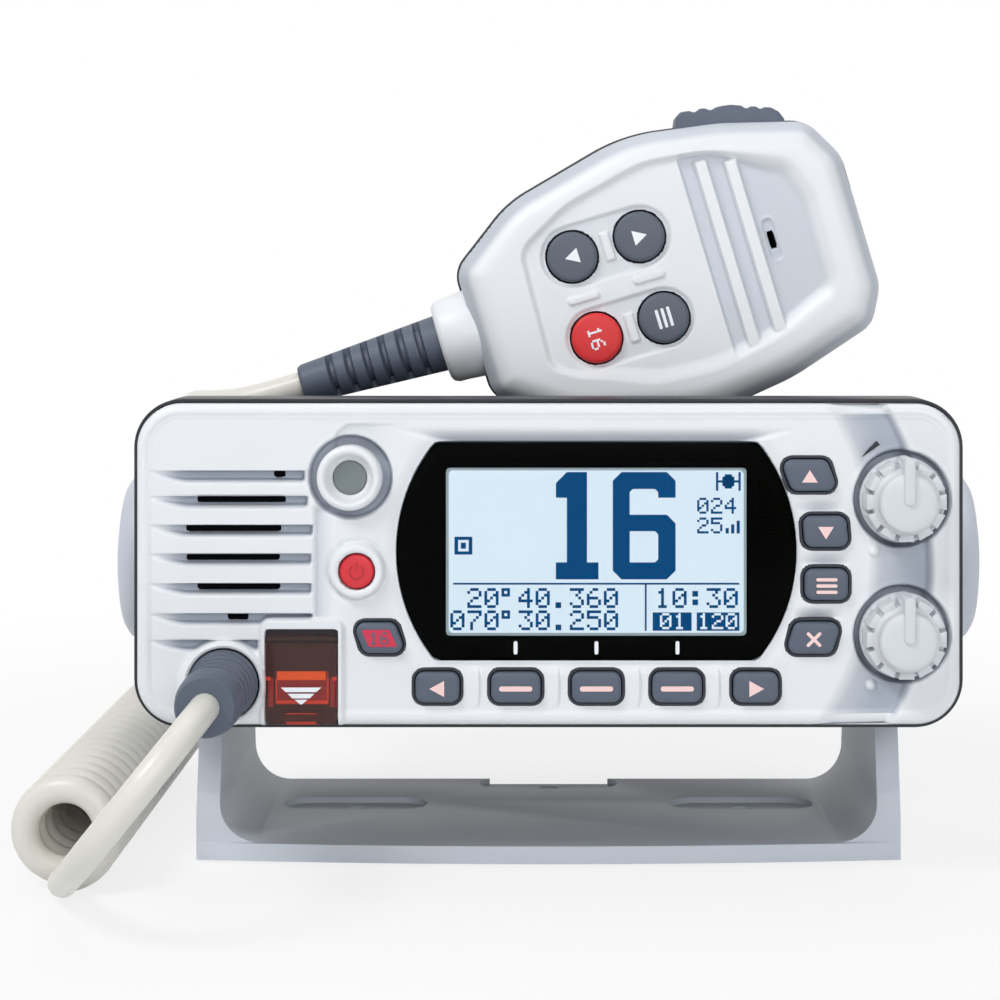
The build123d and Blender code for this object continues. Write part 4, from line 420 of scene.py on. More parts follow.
def apply_modifiers(obj, finish=None):
    """Turns an object with modifiers into a plain mesh with the same name."""
    bpy.context.view_layer.update()
    graph = bpy.context.evaluated_depsgraph_get()
    mesh = bpy.data.meshes.new_from_object(obj.evaluated_get(graph), depsgraph=graph)
    name = obj.name
    bpy.data.objects.remove(obj)
    if finish is not None:
        mesh.materials.clear()
        mesh.materials.append(finish)
    plain = bpy.data.objects.new(name, mesh)
    bpy.context.scene.collection.objects.link(plain)
    return plain


def finish_piece(obj, body, nodes=()):
    """Rides a piece on its body, in place of its CAD nodes."""
    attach(obj, body)
    if nodes:
        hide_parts(*nodes)
    return obj


# ---------------------------------------------------------------- repeats with Geometry Nodes
def repeat_tree():
    """A node tree that repeats a piece round an axis."""
    name = "Repeat round"
    if name in bpy.data.node_groups:
        return bpy.data.node_groups[name]
    tree = bpy.data.node_groups.new(name, "GeometryNodeTree")
    for socket, kind in (("Piece", "Geometry"), ("Count", "Int"), ("Step", "Vector"), ("Pivot", "Vector"),
                         ("Finish", "Material")):
        tree.interface.new_socket(socket, in_out="INPUT", socket_type="NodeSocket" + kind)
    tree.interface.new_socket("Pieces", in_out="OUTPUT", socket_type="NodeSocketGeometry")
    nodes, links = tree.nodes, tree.links
    given, result = nodes.new("NodeGroupInput"), nodes.new("NodeGroupOutput")
    line = nodes.new("GeometryNodeMeshLine")
    line.inputs["Offset"].default_value = (0, 0, 0)
    links.new(given.outputs["Count"], line.inputs["Count"])
    place = nodes.new("GeometryNodeInstanceOnPoints")
    links.new(line.outputs["Mesh"], place.inputs["Points"])
    links.new(given.outputs["Piece"], place.inputs["Instance"])
    index = nodes.new("GeometryNodeInputIndex")
    scale = nodes.new("ShaderNodeVectorMath")
    scale.operation = "SCALE"
    links.new(given.outputs["Step"], scale.inputs["Vector"])
    links.new(index.outputs["Index"], scale.inputs["Scale"])
    move = nodes.new("GeometryNodeRotateInstances")
    links.new(scale.outputs["Vector"], move.inputs["Rotation"])
    links.new(given.outputs["Pivot"], move.inputs["Pivot Point"])
    move.inputs["Local Space"].default_value = False
    links.new(place.outputs["Instances"], move.inputs["Instances"])
    real = nodes.new("GeometryNodeRealizeInstances")
    links.new(move.outputs["Instances"], real.inputs["Geometry"])
    paint = nodes.new("GeometryNodeSetMaterial")
    links.new(real.outputs["Geometry"], paint.inputs["Geometry"])
    links.new(given.outputs["Finish"], paint.inputs["Material"])
    links.new(paint.outputs["Geometry"], result.inputs["Pieces"])
    return tree


def repeat(obj, count, step, pivot, finish):
    """Repeats a piece round a pivot: step is a turn in radians about each axis."""
    tree = repeat_tree()
    modifier = obj.modifiers.new("Repeat", "NODES")
    modifier.node_group = tree
    ids = {item.name: item.identifier for item in tree.interface.items_tree if item.in_out == "INPUT"}
    modifier[ids["Count"]] = count
    modifier[ids["Step"]] = [float(value) for value in step]
    modifier[ids["Pivot"]] = [value * MM for value in pivot]
    modifier[ids["Finish"]] = finish
    plain = apply_modifiers(obj, finish)
    plain.data.set_sharp_from_angle(angle=math.radians(35))
    return plain


def block(name, corners, finish, bevel=0.0):
    """A block from eight corners, bottom four then top four, with rounded edges."""
    faces = [(0, 3, 2, 1), (4, 5, 6, 7), (0, 1, 5, 4), (1, 2, 6, 5), (2, 3, 7, 6), (3, 0, 4, 7)]
    obj = outward(make_object(name, corners, faces, [finish]))
    if bevel:
        edge = obj.modifiers.new("Edges", "BEVEL")
        edge.width = bevel * MM
        edge.segments = 2
        obj = smooth(apply_modifiers(obj, finish), 40)
    return obj


# ---------------------------------------------------------------- materials
def calculate(tree, operation, *values):
    """The result of a maths node fed with sockets or numbers."""
    node = tree.nodes.new("ShaderNodeMath")
    node.operation = operation
    for socket, value in zip(node.inputs, values):
        if isinstance(value, bpy.types.NodeSocket):
            tree.links.new(value, socket)
        else:
            socket.default_value = value
    return node.outputs["Value"]


def grain_group():
    """Fine grain and faint wear that several moulded finishes share."""
    if "Moulded grain" in bpy.data.node_groups:
        return bpy.data.node_groups["Moulded grain"]
    group = bpy.data.node_groups.new("Moulded grain", "ShaderNodeTree")
    for name, kind, value in (("Colour", "NodeSocketColor", (1, 1, 1, 1)),
                              ("Grain size", "NodeSocketFloat", 900.0),
                              ("Grain depth", "NodeSocketFloat", 0.1), ("Roughness", "NodeSocketFloat", 0.5),
                              ("Mottle", "NodeSocketFloat", 0.04)):
        socket = group.interface.new_socket(name, in_out="INPUT", socket_type=kind)
        socket.default_value = value
    for name, kind in (("Colour", "NodeSocketColor"), ("Roughness", "NodeSocketFloat"),
                       ("Normal", "NodeSocketVector")):
        group.interface.new_socket(name, in_out="OUTPUT", socket_type=kind)
    nodes, links = group.nodes, group.links
    given, result = nodes.new("NodeGroupInput"), nodes.new("NodeGroupOutput")
    where = nodes.new("ShaderNodeTexCoord")
    fine, broad = nodes.new("ShaderNodeTexNoise"), nodes.new("ShaderNodeTexNoise")
    fine.inputs["Detail"].default_value = 2.0
    broad.inputs["Scale"].default_value = 45.0
    links.new(where.outputs["Object"], fine.inputs["Vector"])
    links.new(where.outputs["Object"], broad.inputs["Vector"])
    links.new(given.outputs["Grain size"], fine.inputs["Scale"])
    bump = nodes.new("ShaderNodeBump")
    bump.inputs["Distance"].default_value = 0.0001
    links.new(given.outputs["Grain depth"], bump.inputs["Strength"])
    links.new(fine.outputs["Fac"], bump.inputs["Height"])
    shade = calculate(group, "MULTIPLY_ADD", broad.outputs["Fac"], given.outputs["Mottle"], 0.98)
    colour = nodes.new("ShaderNodeVectorMath")
    colour.operation = "SCALE"
    links.new(given.outputs["Colour"], colour.inputs["Vector"])
    links.new(shade, colour.inputs["Scale"])
    rough = calculate(group, "MULTIPLY_ADD", broad.outputs["Fac"], 0.08, given.outputs["Roughness"])
    links.new(colour.outputs["Vector"], result.inputs["Colour"])
    links.new(rough, result.inputs["Roughness"])
    links.new(bump.outputs["Normal"], result.inputs["Normal"])
    return group


def moulded(name, colour, roughness, size=900.0, depth=0.1, mottle=0.04, metallic=0.0, coat=0.0,
            specular=0.5):
    """An opaque finish with fine grain."""
    if name in bpy.data.materials:
        return bpy.data.materials[name]
    material = bpy.data.materials.new(name)
    material.use_nodes = True
    nodes, links = material.node_tree.nodes, material.node_tree.links
    shader = nodes["Principled BSDF"]
    shader.inputs["Metallic"].default_value = metallic
    shader.inputs["Specular IOR Level"].default_value = specular
    shader.inputs["Coat Weight"].default_value = coat
    shader.inputs["Coat Roughness"].default_value = 0.08
    grain = nodes.new("ShaderNodeGroup")
    grain.node_tree = grain_group()
    grain.inputs["Colour"].default_value = (*colour, 1)
    grain.inputs["Grain size"].default_value = size
    grain.inputs["Grain depth"].default_value = depth
    grain.inputs["Roughness"].default_value = roughness
    grain.inputs["Mottle"].default_value = mottle
    links.new(grain.outputs["Colour"], shader.inputs["Base Color"])
    links.new(grain.outputs["Roughness"], shader.inputs["Roughness"])
    links.new(grain.outputs["Normal"], shader.inputs["Normal"])
    return material


def painted_recess_shade_group():
    """Colour that turns to a shaded tone with depth behind a face, up to a share, inside a field."""
    if "Recess shade" in bpy.data.node_groups:
        return bpy.data.node_groups["Recess shade"]
    group = bpy.data.node_groups.new("Recess shade", "ShaderNodeTree")
    for name, kind, value in (("Colour", "NodeSocketColor", (1, 1, 1, 1)),
                              ("Shade", "NodeSocketColor", (0.3, 0.35, 0.42, 1)),
                              ("Face", "NodeSocketFloat", FACE_Y * MM),
                              ("Start", "NodeSocketFloat", 0.3 * MM),
                              ("Full", "NodeSocketFloat", 2.6 * MM), ("End", "NodeSocketFloat", 9.0 * MM),
                              ("Share", "NodeSocketFloat", 0.7), ("Half width", "NodeSocketFloat", 87.3 * MM),
                              ("Middle", "NodeSocketFloat", MID_Z * MM),
                              ("Half height", "NodeSocketFloat", 32.6 * MM)):
        group.interface.new_socket(name, in_out="INPUT", socket_type=kind).default_value = value
    group.interface.new_socket("Colour", in_out="OUTPUT", socket_type="NodeSocketColor")
    nodes, links = group.nodes, group.links
    given, result = nodes.new("NodeGroupInput"), nodes.new("NodeGroupOutput")
    where, split = nodes.new("ShaderNodeTexCoord"), nodes.new("ShaderNodeSeparateXYZ")
    links.new(where.outputs["Object"], split.inputs["Vector"])
    depth = calculate(group, "SUBTRACT", split.outputs["Y"], given.outputs["Face"])
    rise = nodes.new("ShaderNodeMapRange")
    rise.interpolation_type = "SMOOTHSTEP"
    links.new(depth, rise.inputs["Value"])
    links.new(given.outputs["Start"], rise.inputs["From Min"])
    links.new(given.outputs["Full"], rise.inputs["From Max"])
    field = calculate(group, "LESS_THAN", calculate(group, "ABSOLUTE", split.outputs["X"]),
                      given.outputs["Half width"])
    away = calculate(group, "ABSOLUTE",
                     calculate(group, "SUBTRACT", split.outputs["Z"], given.outputs["Middle"]))
    field = calculate(group, "MULTIPLY", field,
                      calculate(group, "LESS_THAN", away, given.outputs["Half height"]))
    field = calculate(group, "MULTIPLY", field, calculate(group, "LESS_THAN", depth, given.outputs["End"]))
    amount = calculate(group, "MULTIPLY", calculate(group, "MULTIPLY", rise.outputs["Result"], field),
                       given.outputs["Share"])
    blend = nodes.new("ShaderNodeMix")
    blend.data_type = "RGBA"
    links.new(amount, blend.inputs[0])
    links.new(given.outputs["Colour"], blend.inputs[6])
    links.new(given.outputs["Shade"], blend.inputs[7])
    links.new(blend.outputs[2], result.inputs["Colour"])
    return group


def with_painted_recess_shade(name, plain, shade, values):
    """A copy of a moulded finish whose hollows are shaded."""
    if name in bpy.data.materials:
        return bpy.data.materials[name]
    material = plain.copy()
    material.name = name
    nodes, links = material.node_tree.nodes, material.node_tree.links
    grain = next(node for node in nodes if node.type == "GROUP")
    shade_paint = nodes.new("ShaderNodeGroup")
    shade_paint.node_tree = painted_recess_shade_group()
    shade_paint.inputs["Colour"].default_value = grain.inputs["Colour"].default_value
    shade_paint.inputs["Shade"].default_value = (*shade, 1)
    for socket, value in values.items():
        shade_paint.inputs[socket].default_value = value
    links.new(shade_paint.outputs["Colour"], grain.inputs["Colour"])
    return material


def plain_shader(name, values):
    """A material with plain values on its shader."""
    if name in bpy.data.materials:
        return bpy.data.materials[name]
    material = bpy.data.materials.new(name)
    material.use_nodes = True
    shader = material.node_tree.nodes["Principled BSDF"]
    for socket, value in values.items():
        shader.inputs[socket].default_value = value
    return material


def clear(name, colour, roughness=0.02, ior=1.46):
    """A see-through plastic."""
    return plain_shader(name, {"Base Color": (*colour, 1), "Roughness": roughness, "IOR": ior,
                               "Transmission Weight": 1.0})


def glowing(name, colour, strength):
    """A lit surface of the display."""
    return plain_shader(name, {"Base Color": (*[0.4 * c for c in colour], 1), "Roughness": 0.5,
                               "Specular IOR Level": 0.0, "Emission Color": (*colour, 1),
                               "Emission Strength": strength})


def linear(red, green, blue):
    """Display colour from 0 to 255 to the renderer's own scale."""
    return tuple(((c / 255 + 0.055) / 1.055) ** 2.4 if c > 10 else c / 255 / 12.92 for c in (red, green,
                                                                                             blue))


def finishes():
    """Every finish of the radio, by its plain name."""
    colours = bpy.context.scene.radio_colours
    white = tuple(colours.housing)
    rubber = tuple(colours.rubber)
    return {
        "white": moulded("White housing", white, 0.36, 700, 0.16, 0.03),
        "smooth_white": moulded("Smooth white", white, 0.26, 900, 0.03, 0.02),
        "knob_white": moulded("Knob white", linear(214, 217, 221), 0.34, 900, 0.05, 0.03),
        "bracket": moulded("Bracket grey white", linear(203, 208, 218), 0.42, 600, 0.12, 0.03),
        "dark": moulded("Dark surround", linear(24, 27, 36), 0.38, 800, 0.12, 0.05),
        "slate": moulded("Slate rubber", rubber, 0.48, 900, 0.12, 0.06),
        # painted shade: a darker copy of the slate rubber for the key wells
        "slate_dark": moulded("Slate rubber shade", tuple(0.3 * c for c in rubber), 0.5, 900, 0.1, 0.05),
        "mic_grey": moulded("Grey rubber", linear(86, 93, 105), 0.5, 900, 0.12, 0.05),
        "red": moulded("Red button", tuple(colours.button), 0.4, 900, 0.08, 0.05),
        "red_dark": moulded("Red symbol", tuple(0.74 * c for c in colours.button), 0.45, 900, 0.05, 0.03),
        "red_rubber": moulded("Red rubber", linear(222, 44, 46), 0.45, 900, 0.1, 0.05),
        "plug": moulded("Grey plug", linear(116, 124, 128), 0.55, 700, 0.2, 0.08),
        "mask": moulded("Black mask", linear(5, 5, 9), 0.6, 900, 0.02, 0.02, specular=0.04),
        "casting": moulded("Black casting", linear(30, 31, 34), 0.5, 420, 0.5, 0.15, metallic=0.25),
        "steel": moulded("Steel", linear(190, 192, 196), 0.25, 500, 0.06, 0.1, metallic=1.0),
        "brass": moulded("Brass", linear(196, 160, 92), 0.28, 500, 0.06, 0.1, metallic=1.0),
        "plated": moulded("Plated brass", linear(205, 205, 200), 0.22, 500, 0.08, 0.1, metallic=1.0),
        "ptfe": moulded("Insulator", linear(235, 235, 228), 0.5, 500, 0.05, 0.03),
        "board": moulded("Board lacquer", linear(22, 92, 52), 0.35, 300, 0.3, 0.3),
        "silicone": moulded("Silicone mat", linear(70, 78, 92), 0.6, 500, 0.1, 0.05),
        "cone": moulded("Speaker cone", linear(38, 38, 40), 0.75, 800, 0.4, 0.1),
        # the black screen cloth, also used as painted shade in slots and hollows
        "screen": moulded("Screen cloth", linear(10, 10, 14), 0.85, 1400, 0.8, 0.2, specular=0.1),
        # painted shade: the dark backing seen through the distress cover and at its hinge
        "lid_dark": moulded("Lid shade", linear(46, 42, 50), 0.6, 900, 0.05, 0.1),
        "lid_red": moulded("Lid red", linear(150, 58, 70), 0.6, 900, 0.05, 0.2),
        "lid_orange": moulded("Lid orange", linear(246, 136, 58), 0.6, 900, 0.02, 0.1),
        "lid_line": moulded("Lid line", linear(226, 100, 72), 0.6, 900, 0.02, 0.1),
        "black_rubber": moulded("Black rubber", linear(24, 24, 27), 0.6, 700, 0.2, 0.08),
        "cord": moulded("Cord jacket", tuple(colours.cord), 0.3, 500, 0.05, 0.03),
        "print_pink": moulded("Pale print", linear(248, 214, 210), 0.5, 700, 0.02, 0.02),
        "print_white": moulded("White print", linear(244, 246, 250), 0.4, 700, 0.02, 0.02),
        "print_black": moulded("Black print", linear(18, 20, 26), 0.4, 700, 0.02, 0.02),
        "label_red": moulded("Red label", linear(206, 48, 78), 0.5, 700, 0.04, 0.03),
        "glass": clear("Window", (1.0, 1.0, 1.0), ior=1.12),
        "cover": clear("Distress cover", tuple(colours.cover), 0.04, ior=1.3),
        "lcd": glowing("Display light", linear(209, 227, 239), 0.62),
        "lcd_edge": glowing("Display edge", linear(160, 178, 186), 0.45),
        "ink": glowing("Display ink", linear(4, 70, 122), 0.55),
    }


# ---------------------------------------------------------------- front panel
def slope(z, points):
    """Places x of a border line at the heights z."""
    zs, xs = zip(*sorted((b, a) for a, b in points))
    return np.interp(z, zs, xs)


def panel_height(x, z):
    """How far the panel stands proud of its flat face, before any hole."""
    h = np.zeros(x.shape)
    # fine lip line along the top, inside the rounded edge
    edge = distance(x, z, box_outline(0, 0, PANEL_W / 2, PANEL_H / 2, PANEL_R))
    inner = ease((-edge - 2.0) / 0.5) * ease((3.0 + edge) / 0.5)
    h -= 0.22 * inner * ease((z - 6.0) / 10.0)
    h -= 0.35 * ease((-edge - 2.3) / 1.2)
    # louvred grille: grooves that start flat at the left and end square at the right
    groove_rows = [19.6, 14.1, 7.8, 1.5, -4.9, -11.5, -17.2]
    for row, level in enumerate(groove_rows):
        end = (-52.6, -52.0, -50.9, -51.2, -51.2, -51.0, -62.8)[row]
        down = level + 0.95 - z
        reach = 3.0 * np.sqrt(np.clip((x + 87.0) / 8.0, 0.01, 1))
        drop = 2.5 * ease((x + 88.0) / 11.0) * ease((end - x) / 1.1)
        h -= drop * ease(down / 0.5) * ease((reach - down) / (0.42 * reach))
    ribs_right = ease((x + 51.4) / 1.2) * ease((13.5 - z) / 2.0) * ease((z + 13.2) / 1.2)
    h -= 1.1 * ribs_right * ease((-44.8 - x) / 5.2)
    h += (0.25 * ease((x + 51.0) / 2.0) * ease((-45.3 - x) / 0.8)
          * ease((12.0 - z) / 2.0) * ease((z + 13.0) / 2.0))
    # ledge at the top right end of the grille
    ledge_end = slope(z, [(-43.6, 31.0), (-46.6, 28.4), (-47.5, 20.0)])
    ledge = ease((30.9 - z) / 0.8) * ease((x - ledge_end) / 0.9) * ease((-30.0 - x) / 12.0)
    h -= 0.7 * ledge * ease((z - 12.0) / 4.0)
    # sloping bed above the window
    bed = ease((29.9 - z) / 3.4) * ease((47.0 - 3.6 * np.clip(29.9 - z, 0, 4) - np.abs(x - 10.4)) / 5.0)
    h -= 1.25 * bed * ease((z - 21.0) / 5.0)
    # shallow cove round the window's bulging sides
    near = distance(x, z, window_outline(), reach=6.0)
    h -= 0.5 * ease((3.2 - near) / 3.2)
    # right-hand field: falls away to a crease, then rises to the edge
    border = 69.8 - 0.009 * (z - 2.0) ** 2
    crease = 82.0 - 0.0079 * (z + 1.0) ** 2
    fall = np.clip((x - border) / (crease - border), 0, 1)
    h -= 2.6 * (fall + 0.35 * ease(fall * 3) * (1 - fall)) * ease((crease + 2.4 - x) / 2.4)
    h -= 0.35 * ease((x - crease - 1.0) / 3.0)
    # scoops over three of the right-hand keys, and creases between the lower keys
    for mid_x, top, low in ((59.1, 14.9, 11.9), (60.1, 3.1, 0.3), (58.5, -8.8, -11.6)):
        across = np.clip(1 - ((x - mid_x) / 5.4) ** 2, 0, 1)
        h -= 1.25 * across * np.where(z > low, ease((top - z) / (top - low)), ease((z - low + 0.35) / 0.35))
    for mid_x in (-15.6, 1.7, 19.3, 36.6):
        bow = 0.75 * (1 - ((z + 26.6) / 4.6) ** 2)
        inside = np.clip(1 - ((z + 26.6) / 4.6) ** 4, 0, 1)
        rise = np.clip((x - mid_x + 2.6) / 2.9, 0, 1)
        fall = ease((mid_x + 0.3 + np.clip(bow, 0, 1) - x) / np.clip(bow, 0.25, 1))
        h += 0.55 * inside * rise ** 1.3 * fall
    # frame of the distress cover
    outer = distance(x, z, box_outline(COVER_X, -23.9, 9.1, 12.2, 2.2), reach=4.0)
    h = np.where(outer < 0.4, h + (0.85 - h) * ease((0.4 - outer) / 0.8), h)
    return h


def round_features(x, z, h):
    """Raised rings, collar and pips, and the moats."""
    ring = np.hypot(x - POWER[0], z - POWER[1])
    dome = 1.75 - 0.75 * np.clip((ring - 5.1) / 1.0, 0, 1) ** 2 - 2.4 * ease((ring - 5.7) / 0.9)
    h = np.where(ring < 6.5, np.maximum(h - 0.35 * ease((7.4 - ring) / 1.2), dome),
                 h - 0.35 * ease((7.6 - ring) / 1.2))
    inner = ease((4.6 - ring) / 0.5)
    h -= 0.35 * inner
    collar = np.hypot(x - BOOT[0], z - BOOT[1])
    h = np.where(collar < 10.2, h * ease((collar - 8.8) / 1.4), h)
    h = np.where(collar < 8.9, -0.5, h)
    for mid_x, mid_z, radius, depth in [(*HANGER, 9.2, 2.6)] + [(KNOB_X, z0, 10.7,
                                                                 2.7) for z0 in KNOB_ZS.values()]:
        away = np.hypot(x - mid_x, z - mid_z)
        h = h + 0.12 * ease((radius + 1.3 - away) / 1.0) * ease((away - radius) / 0.5)
        h -= (depth + 0.15) * ease((radius + 0.1 - away) / 0.75)
    for mid_x, mid_z in ((KNOB_X - 6.0, 2.9), (KNOB_X - 6.7, -26.5)):
        away = np.hypot(x - mid_x, z - mid_z)
        h = np.maximum(h, h + 1.1 * np.sqrt(np.clip(1 - (away / 1.3) ** 2, 0, 1)))
    return h


def panel_holes():
    """Outlines cut through the panel or down to a pocket."""
    cuts = [(window_outline(0.18), HOLE_DEPTH)]
    for x, z, width, height, lean in KEYS.values():
        cuts.append((key_outline(x, z, width, height, lean, KEY_RING + 0.1), HOLE_DEPTH))
    for x, z, length in SLOTS:
        cuts.append((box_outline(x, z, length / 2, 0.75, 0.7), HOLE_DEPTH))
    cuts.append((circle_outline(*POWER, 4.1), HOLE_DEPTH))
    cuts.append((box_outline(COVER_X, (WELL_TOP - 36.5) / 2, WELL_HALF_W, (WELL_TOP + 36.5) / 2, 0.9),
                 HOLE_DEPTH))
    return cuts


def move_onto(x, z, away, line, near, reach=None):
    """Grid points with those near an outline moved onto it."""
    gx = distance(x + 0.01, z, line, reach) - away
    gz = distance(x, z + 0.01, line, reach) - away
    size = np.hypot(gx, gz) + 1e-9
    return np.where(near, x - away * gx / size, x), np.where(near, z - away * gz / size, z)


def sheet_mesh(x, z, h, outside, hole):
    """Points and faces of the grid's cells inside the outline and outside the holes."""
    rows, cols = x.shape
    a = np.arange(rows * cols).reshape(rows, cols)
    solid = ~outside
    quad = solid[:-1, :-1] & solid[1:, :-1] & solid[:-1, 1:] & solid[1:, 1:]
    quad &= ~(hole[:-1, :-1] & hole[1:, :-1] & hole[:-1, 1:] & hole[1:, 1:])
    faces = np.stack([a[:-1, :-1][quad], a[:-1, 1:][quad], a[1:, 1:][quad], a[1:, :-1][quad]], 1)
    used = np.unique(faces)
    remap = np.full(rows * cols, -1)
    remap[used] = np.arange(len(used))
    return np.stack([x.ravel()[used], z.ravel()[used], h.ravel()[used]], 1), remap[faces]


def height_sheet(xs, zs, height, outline, cuts, deep):
    """A moulded sheet from a height function, rounded down over its edge."""
    cell = xs[1] - xs[0]
    x, z = np.meshgrid(xs, zs)
    outside = distance(x, z, outline) > 0.75 * cell
    hole = np.zeros(x.shape, bool)
    low = np.zeros(x.shape)
    for line, depth in cuts:
        away = distance(x, z, line, reach=2.0)
        near = np.abs(away) < 0.55 * cell
        x, z = move_onto(x, z, away, line, near, reach=2.0)
        low = np.where(np.where(near, 0.0, away) < -0.1 * cell, depth, low)
        hole |= np.where(near, 0.0, away) < -1.6 * cell
    away = distance(x, z, outline)
    x, z = move_onto(x, z, away, outline, away > -0.5 * cell)
    h = height(x, z)
    h = np.where(low > 0, -low, h)
    edge = np.minimum(distance(x, z, outline), 0)
    part = np.clip(edge + deep, 0, deep)
    h -= deep - np.sqrt(np.clip(deep ** 2 - part ** 2, 0, None))
    return sheet_mesh(x, z, h, outside, hole)


def build_front_panel(finish):
    """White moulding: louvres, moats, wells, rings and frame from one height rule."""
    cell = 0.31
    xs = np.arange(-PANEL_W / 2 - cell, PANEL_W / 2 + 1.5 * cell, cell)
    zs = np.arange(-PANEL_H / 2 - cell, PANEL_H / 2 + 1.5 * cell, cell)
    outline = box_outline(0, 0, PANEL_W / 2, PANEL_H / 2, PANEL_R)
    points, faces = height_sheet(xs, zs, lambda x, z: round_features(x, z, panel_height(x, z)),
                                 outline, panel_holes(), EDGE_R)
    space = np.stack([points[:, 0], FACE_Y - points[:, 2], MID_Z + points[:, 1]], 1)
    # painted shade: the panel's hollows turn towards a blue grey with depth behind the face
    panel_white_painted_shade = with_painted_recess_shade("Panel white", finish["white"], linear(128, 140, 160), {})
    middle = points[faces].mean(1)
    kind = np.zeros(len(faces), int)
    # painted shade: the faces in the slots take the black of the screen cloth
    for x, z, length in SLOTS:
        kind[distance(middle[:, 0], middle[:, 1], box_outline(x, z, length / 2, 0.75, 0.7),
                      reach=1.0) < 0.03] = 1
    # painted shade: the faces inside the key wells take the dark slate
    for x, z, width, height, lean in KEYS.values():
        well = key_outline(x, z, width, height, lean, KEY_RING + 0.1)
        kind[distance(middle[:, 0], middle[:, 1], well, reach=1.0) < -0.02] = 2
    sheet = make_object("sheet", space, faces, [panel_white_painted_shade, finish["screen"], finish["slate_dark"]], kind,
                        sharp=38)
    rim = []
    for depth in (EDGE_R - 0.05, SKIRT_DEPTH):
        rim.extend(on_panel(x, z, -depth) for x, z in outline)
    strip = make_object("strip", rim, tube_faces(2, len(outline), closed=False), [panel_white_painted_shade], sharp=38)
    obj = join("front_panel_moulding", [sheet, strip], sharp=38)
    finish_piece(obj, "radio", ["front_panel"])
    # slate lips in the wells round the keys, in a darker copy of the key rubber as painted shade
    lips = []
    for name, (x, z, width, height, lean) in KEYS.items():
        lips.append(ring_plate(name + "_lip", key_outline(x, z, width, height, lean, KEY_RING),
                               key_outline(x, z, width, height, lean, 0.32), -0.35, -2.6,
                               finish["slate_dark"]))
    lip = join("key_surround_lips", lips)
    finish_piece(lip, "radio")


def ring_plate(name, outer, inner, front, back, finish):
    """A flat ring between two outlines with the same number of points."""
    count = len(outer)
    inner = resample(inner, count)
    outer = resample(outer, count)
    points = []
    for outline, level in ((outer, front), (inner, front), (inner, back), (outer, back)):
        points.extend(on_panel(x, z, level) for x, z in outline)
    faces = []
    for ring in range(4):
        a, b = ring * count, ((ring + 1) % 4) * count
        faces.extend((a + i, a + (i + 1) % count, b + (i + 1) % count, b + i) for i in range(count))
    return outward(make_object(name, points, faces, [finish]))


def resample(outline, count):
    """The same outline with evenly placed points, starting at its lowest angle."""
    closed = np.vstack([outline, outline[:1]])
    steps = np.linalg.norm(np.diff(closed, axis=0), axis=1)
    at = np.concatenate([[0], np.cumsum(steps)])
    where = np.linspace(0, at[-1], count, endpoint=False)
    even = np.stack([np.interp(where, at, closed[:, 0]), np.interp(where, at, closed[:, 1])], 1)
    middle = (outline.min(0) + outline.max(0)) / 2
    angle = np.arctan2(even[:, 1] - middle[1], even[:, 0] - middle[0])
    return np.roll(even, -int(np.argmin(angle)), axis=0)


# ---------------------------------------------------------------- display
DIGITS = {
    "0": ("01110", "10001", "10011", "10101", "11001", "10001", "01110"),
    "1": ("00100", "01100", "00100", "00100", "00100", "00100", "01110"),
    "2": ("01110", "10001", "00001", "00110", "01000", "10000", "11111"),
    "3": ("11111", "00010", "00100", "00010", "00001", "10001", "01110"),
    "4": ("00010", "00110", "01010", "10010", "11111", "00010", "00010"),
    "5": ("11111", "10000", "11110", "00001", "00001", "10001", "01110"),
    "6": ("00110", "01000", "10000", "11110", "10001", "10001", "01110"),
    "7": ("11111", "00001", "00010", "00100", "01000", "01000", "01000"),
    ":": ("00000", "01100", "01100", "00000", "01100", "01100", "00000"),
    ".": ("00000", "00000", "00000", "00000", "00000", "01100", "01100"),
    "o": ("11100", "10100", "11100", "00000", "00000", "00000", "00000"),
}

DIGIT_PITCH = 6


def cells(text, left, top, dot):
    """Squares of a dot-matrix text as (x0, z0, x1, z1)."""
    boxes = []
    for place, sign in enumerate(text):
        for row, line in enumerate(DIGITS[sign]):
            run = 0
            for column, mark in enumerate(line + "0"):
                if mark == "1":
                    run += 1
                elif run:
                    x1 = left + (place * DIGIT_PITCH + column) * dot
                    z1 = top - row * dot
                    boxes.append((x1 - run * dot, z1 - dot, x1, z1))
                    run = 0
    return boxes


def box_faces(boxes, proud):
    """Points and faces of flat boxes (x0, z0, x1, z1) on the panel."""
    points = [on_panel(x, z, proud) for x0, z0, x1, z1 in boxes for x,
              z in ((x0, z0), (x1, z0), (x1, z1), (x0, z1))]
    return points, [tuple(range(4 * k, 4 * k + 4)) for k in range(len(boxes))]


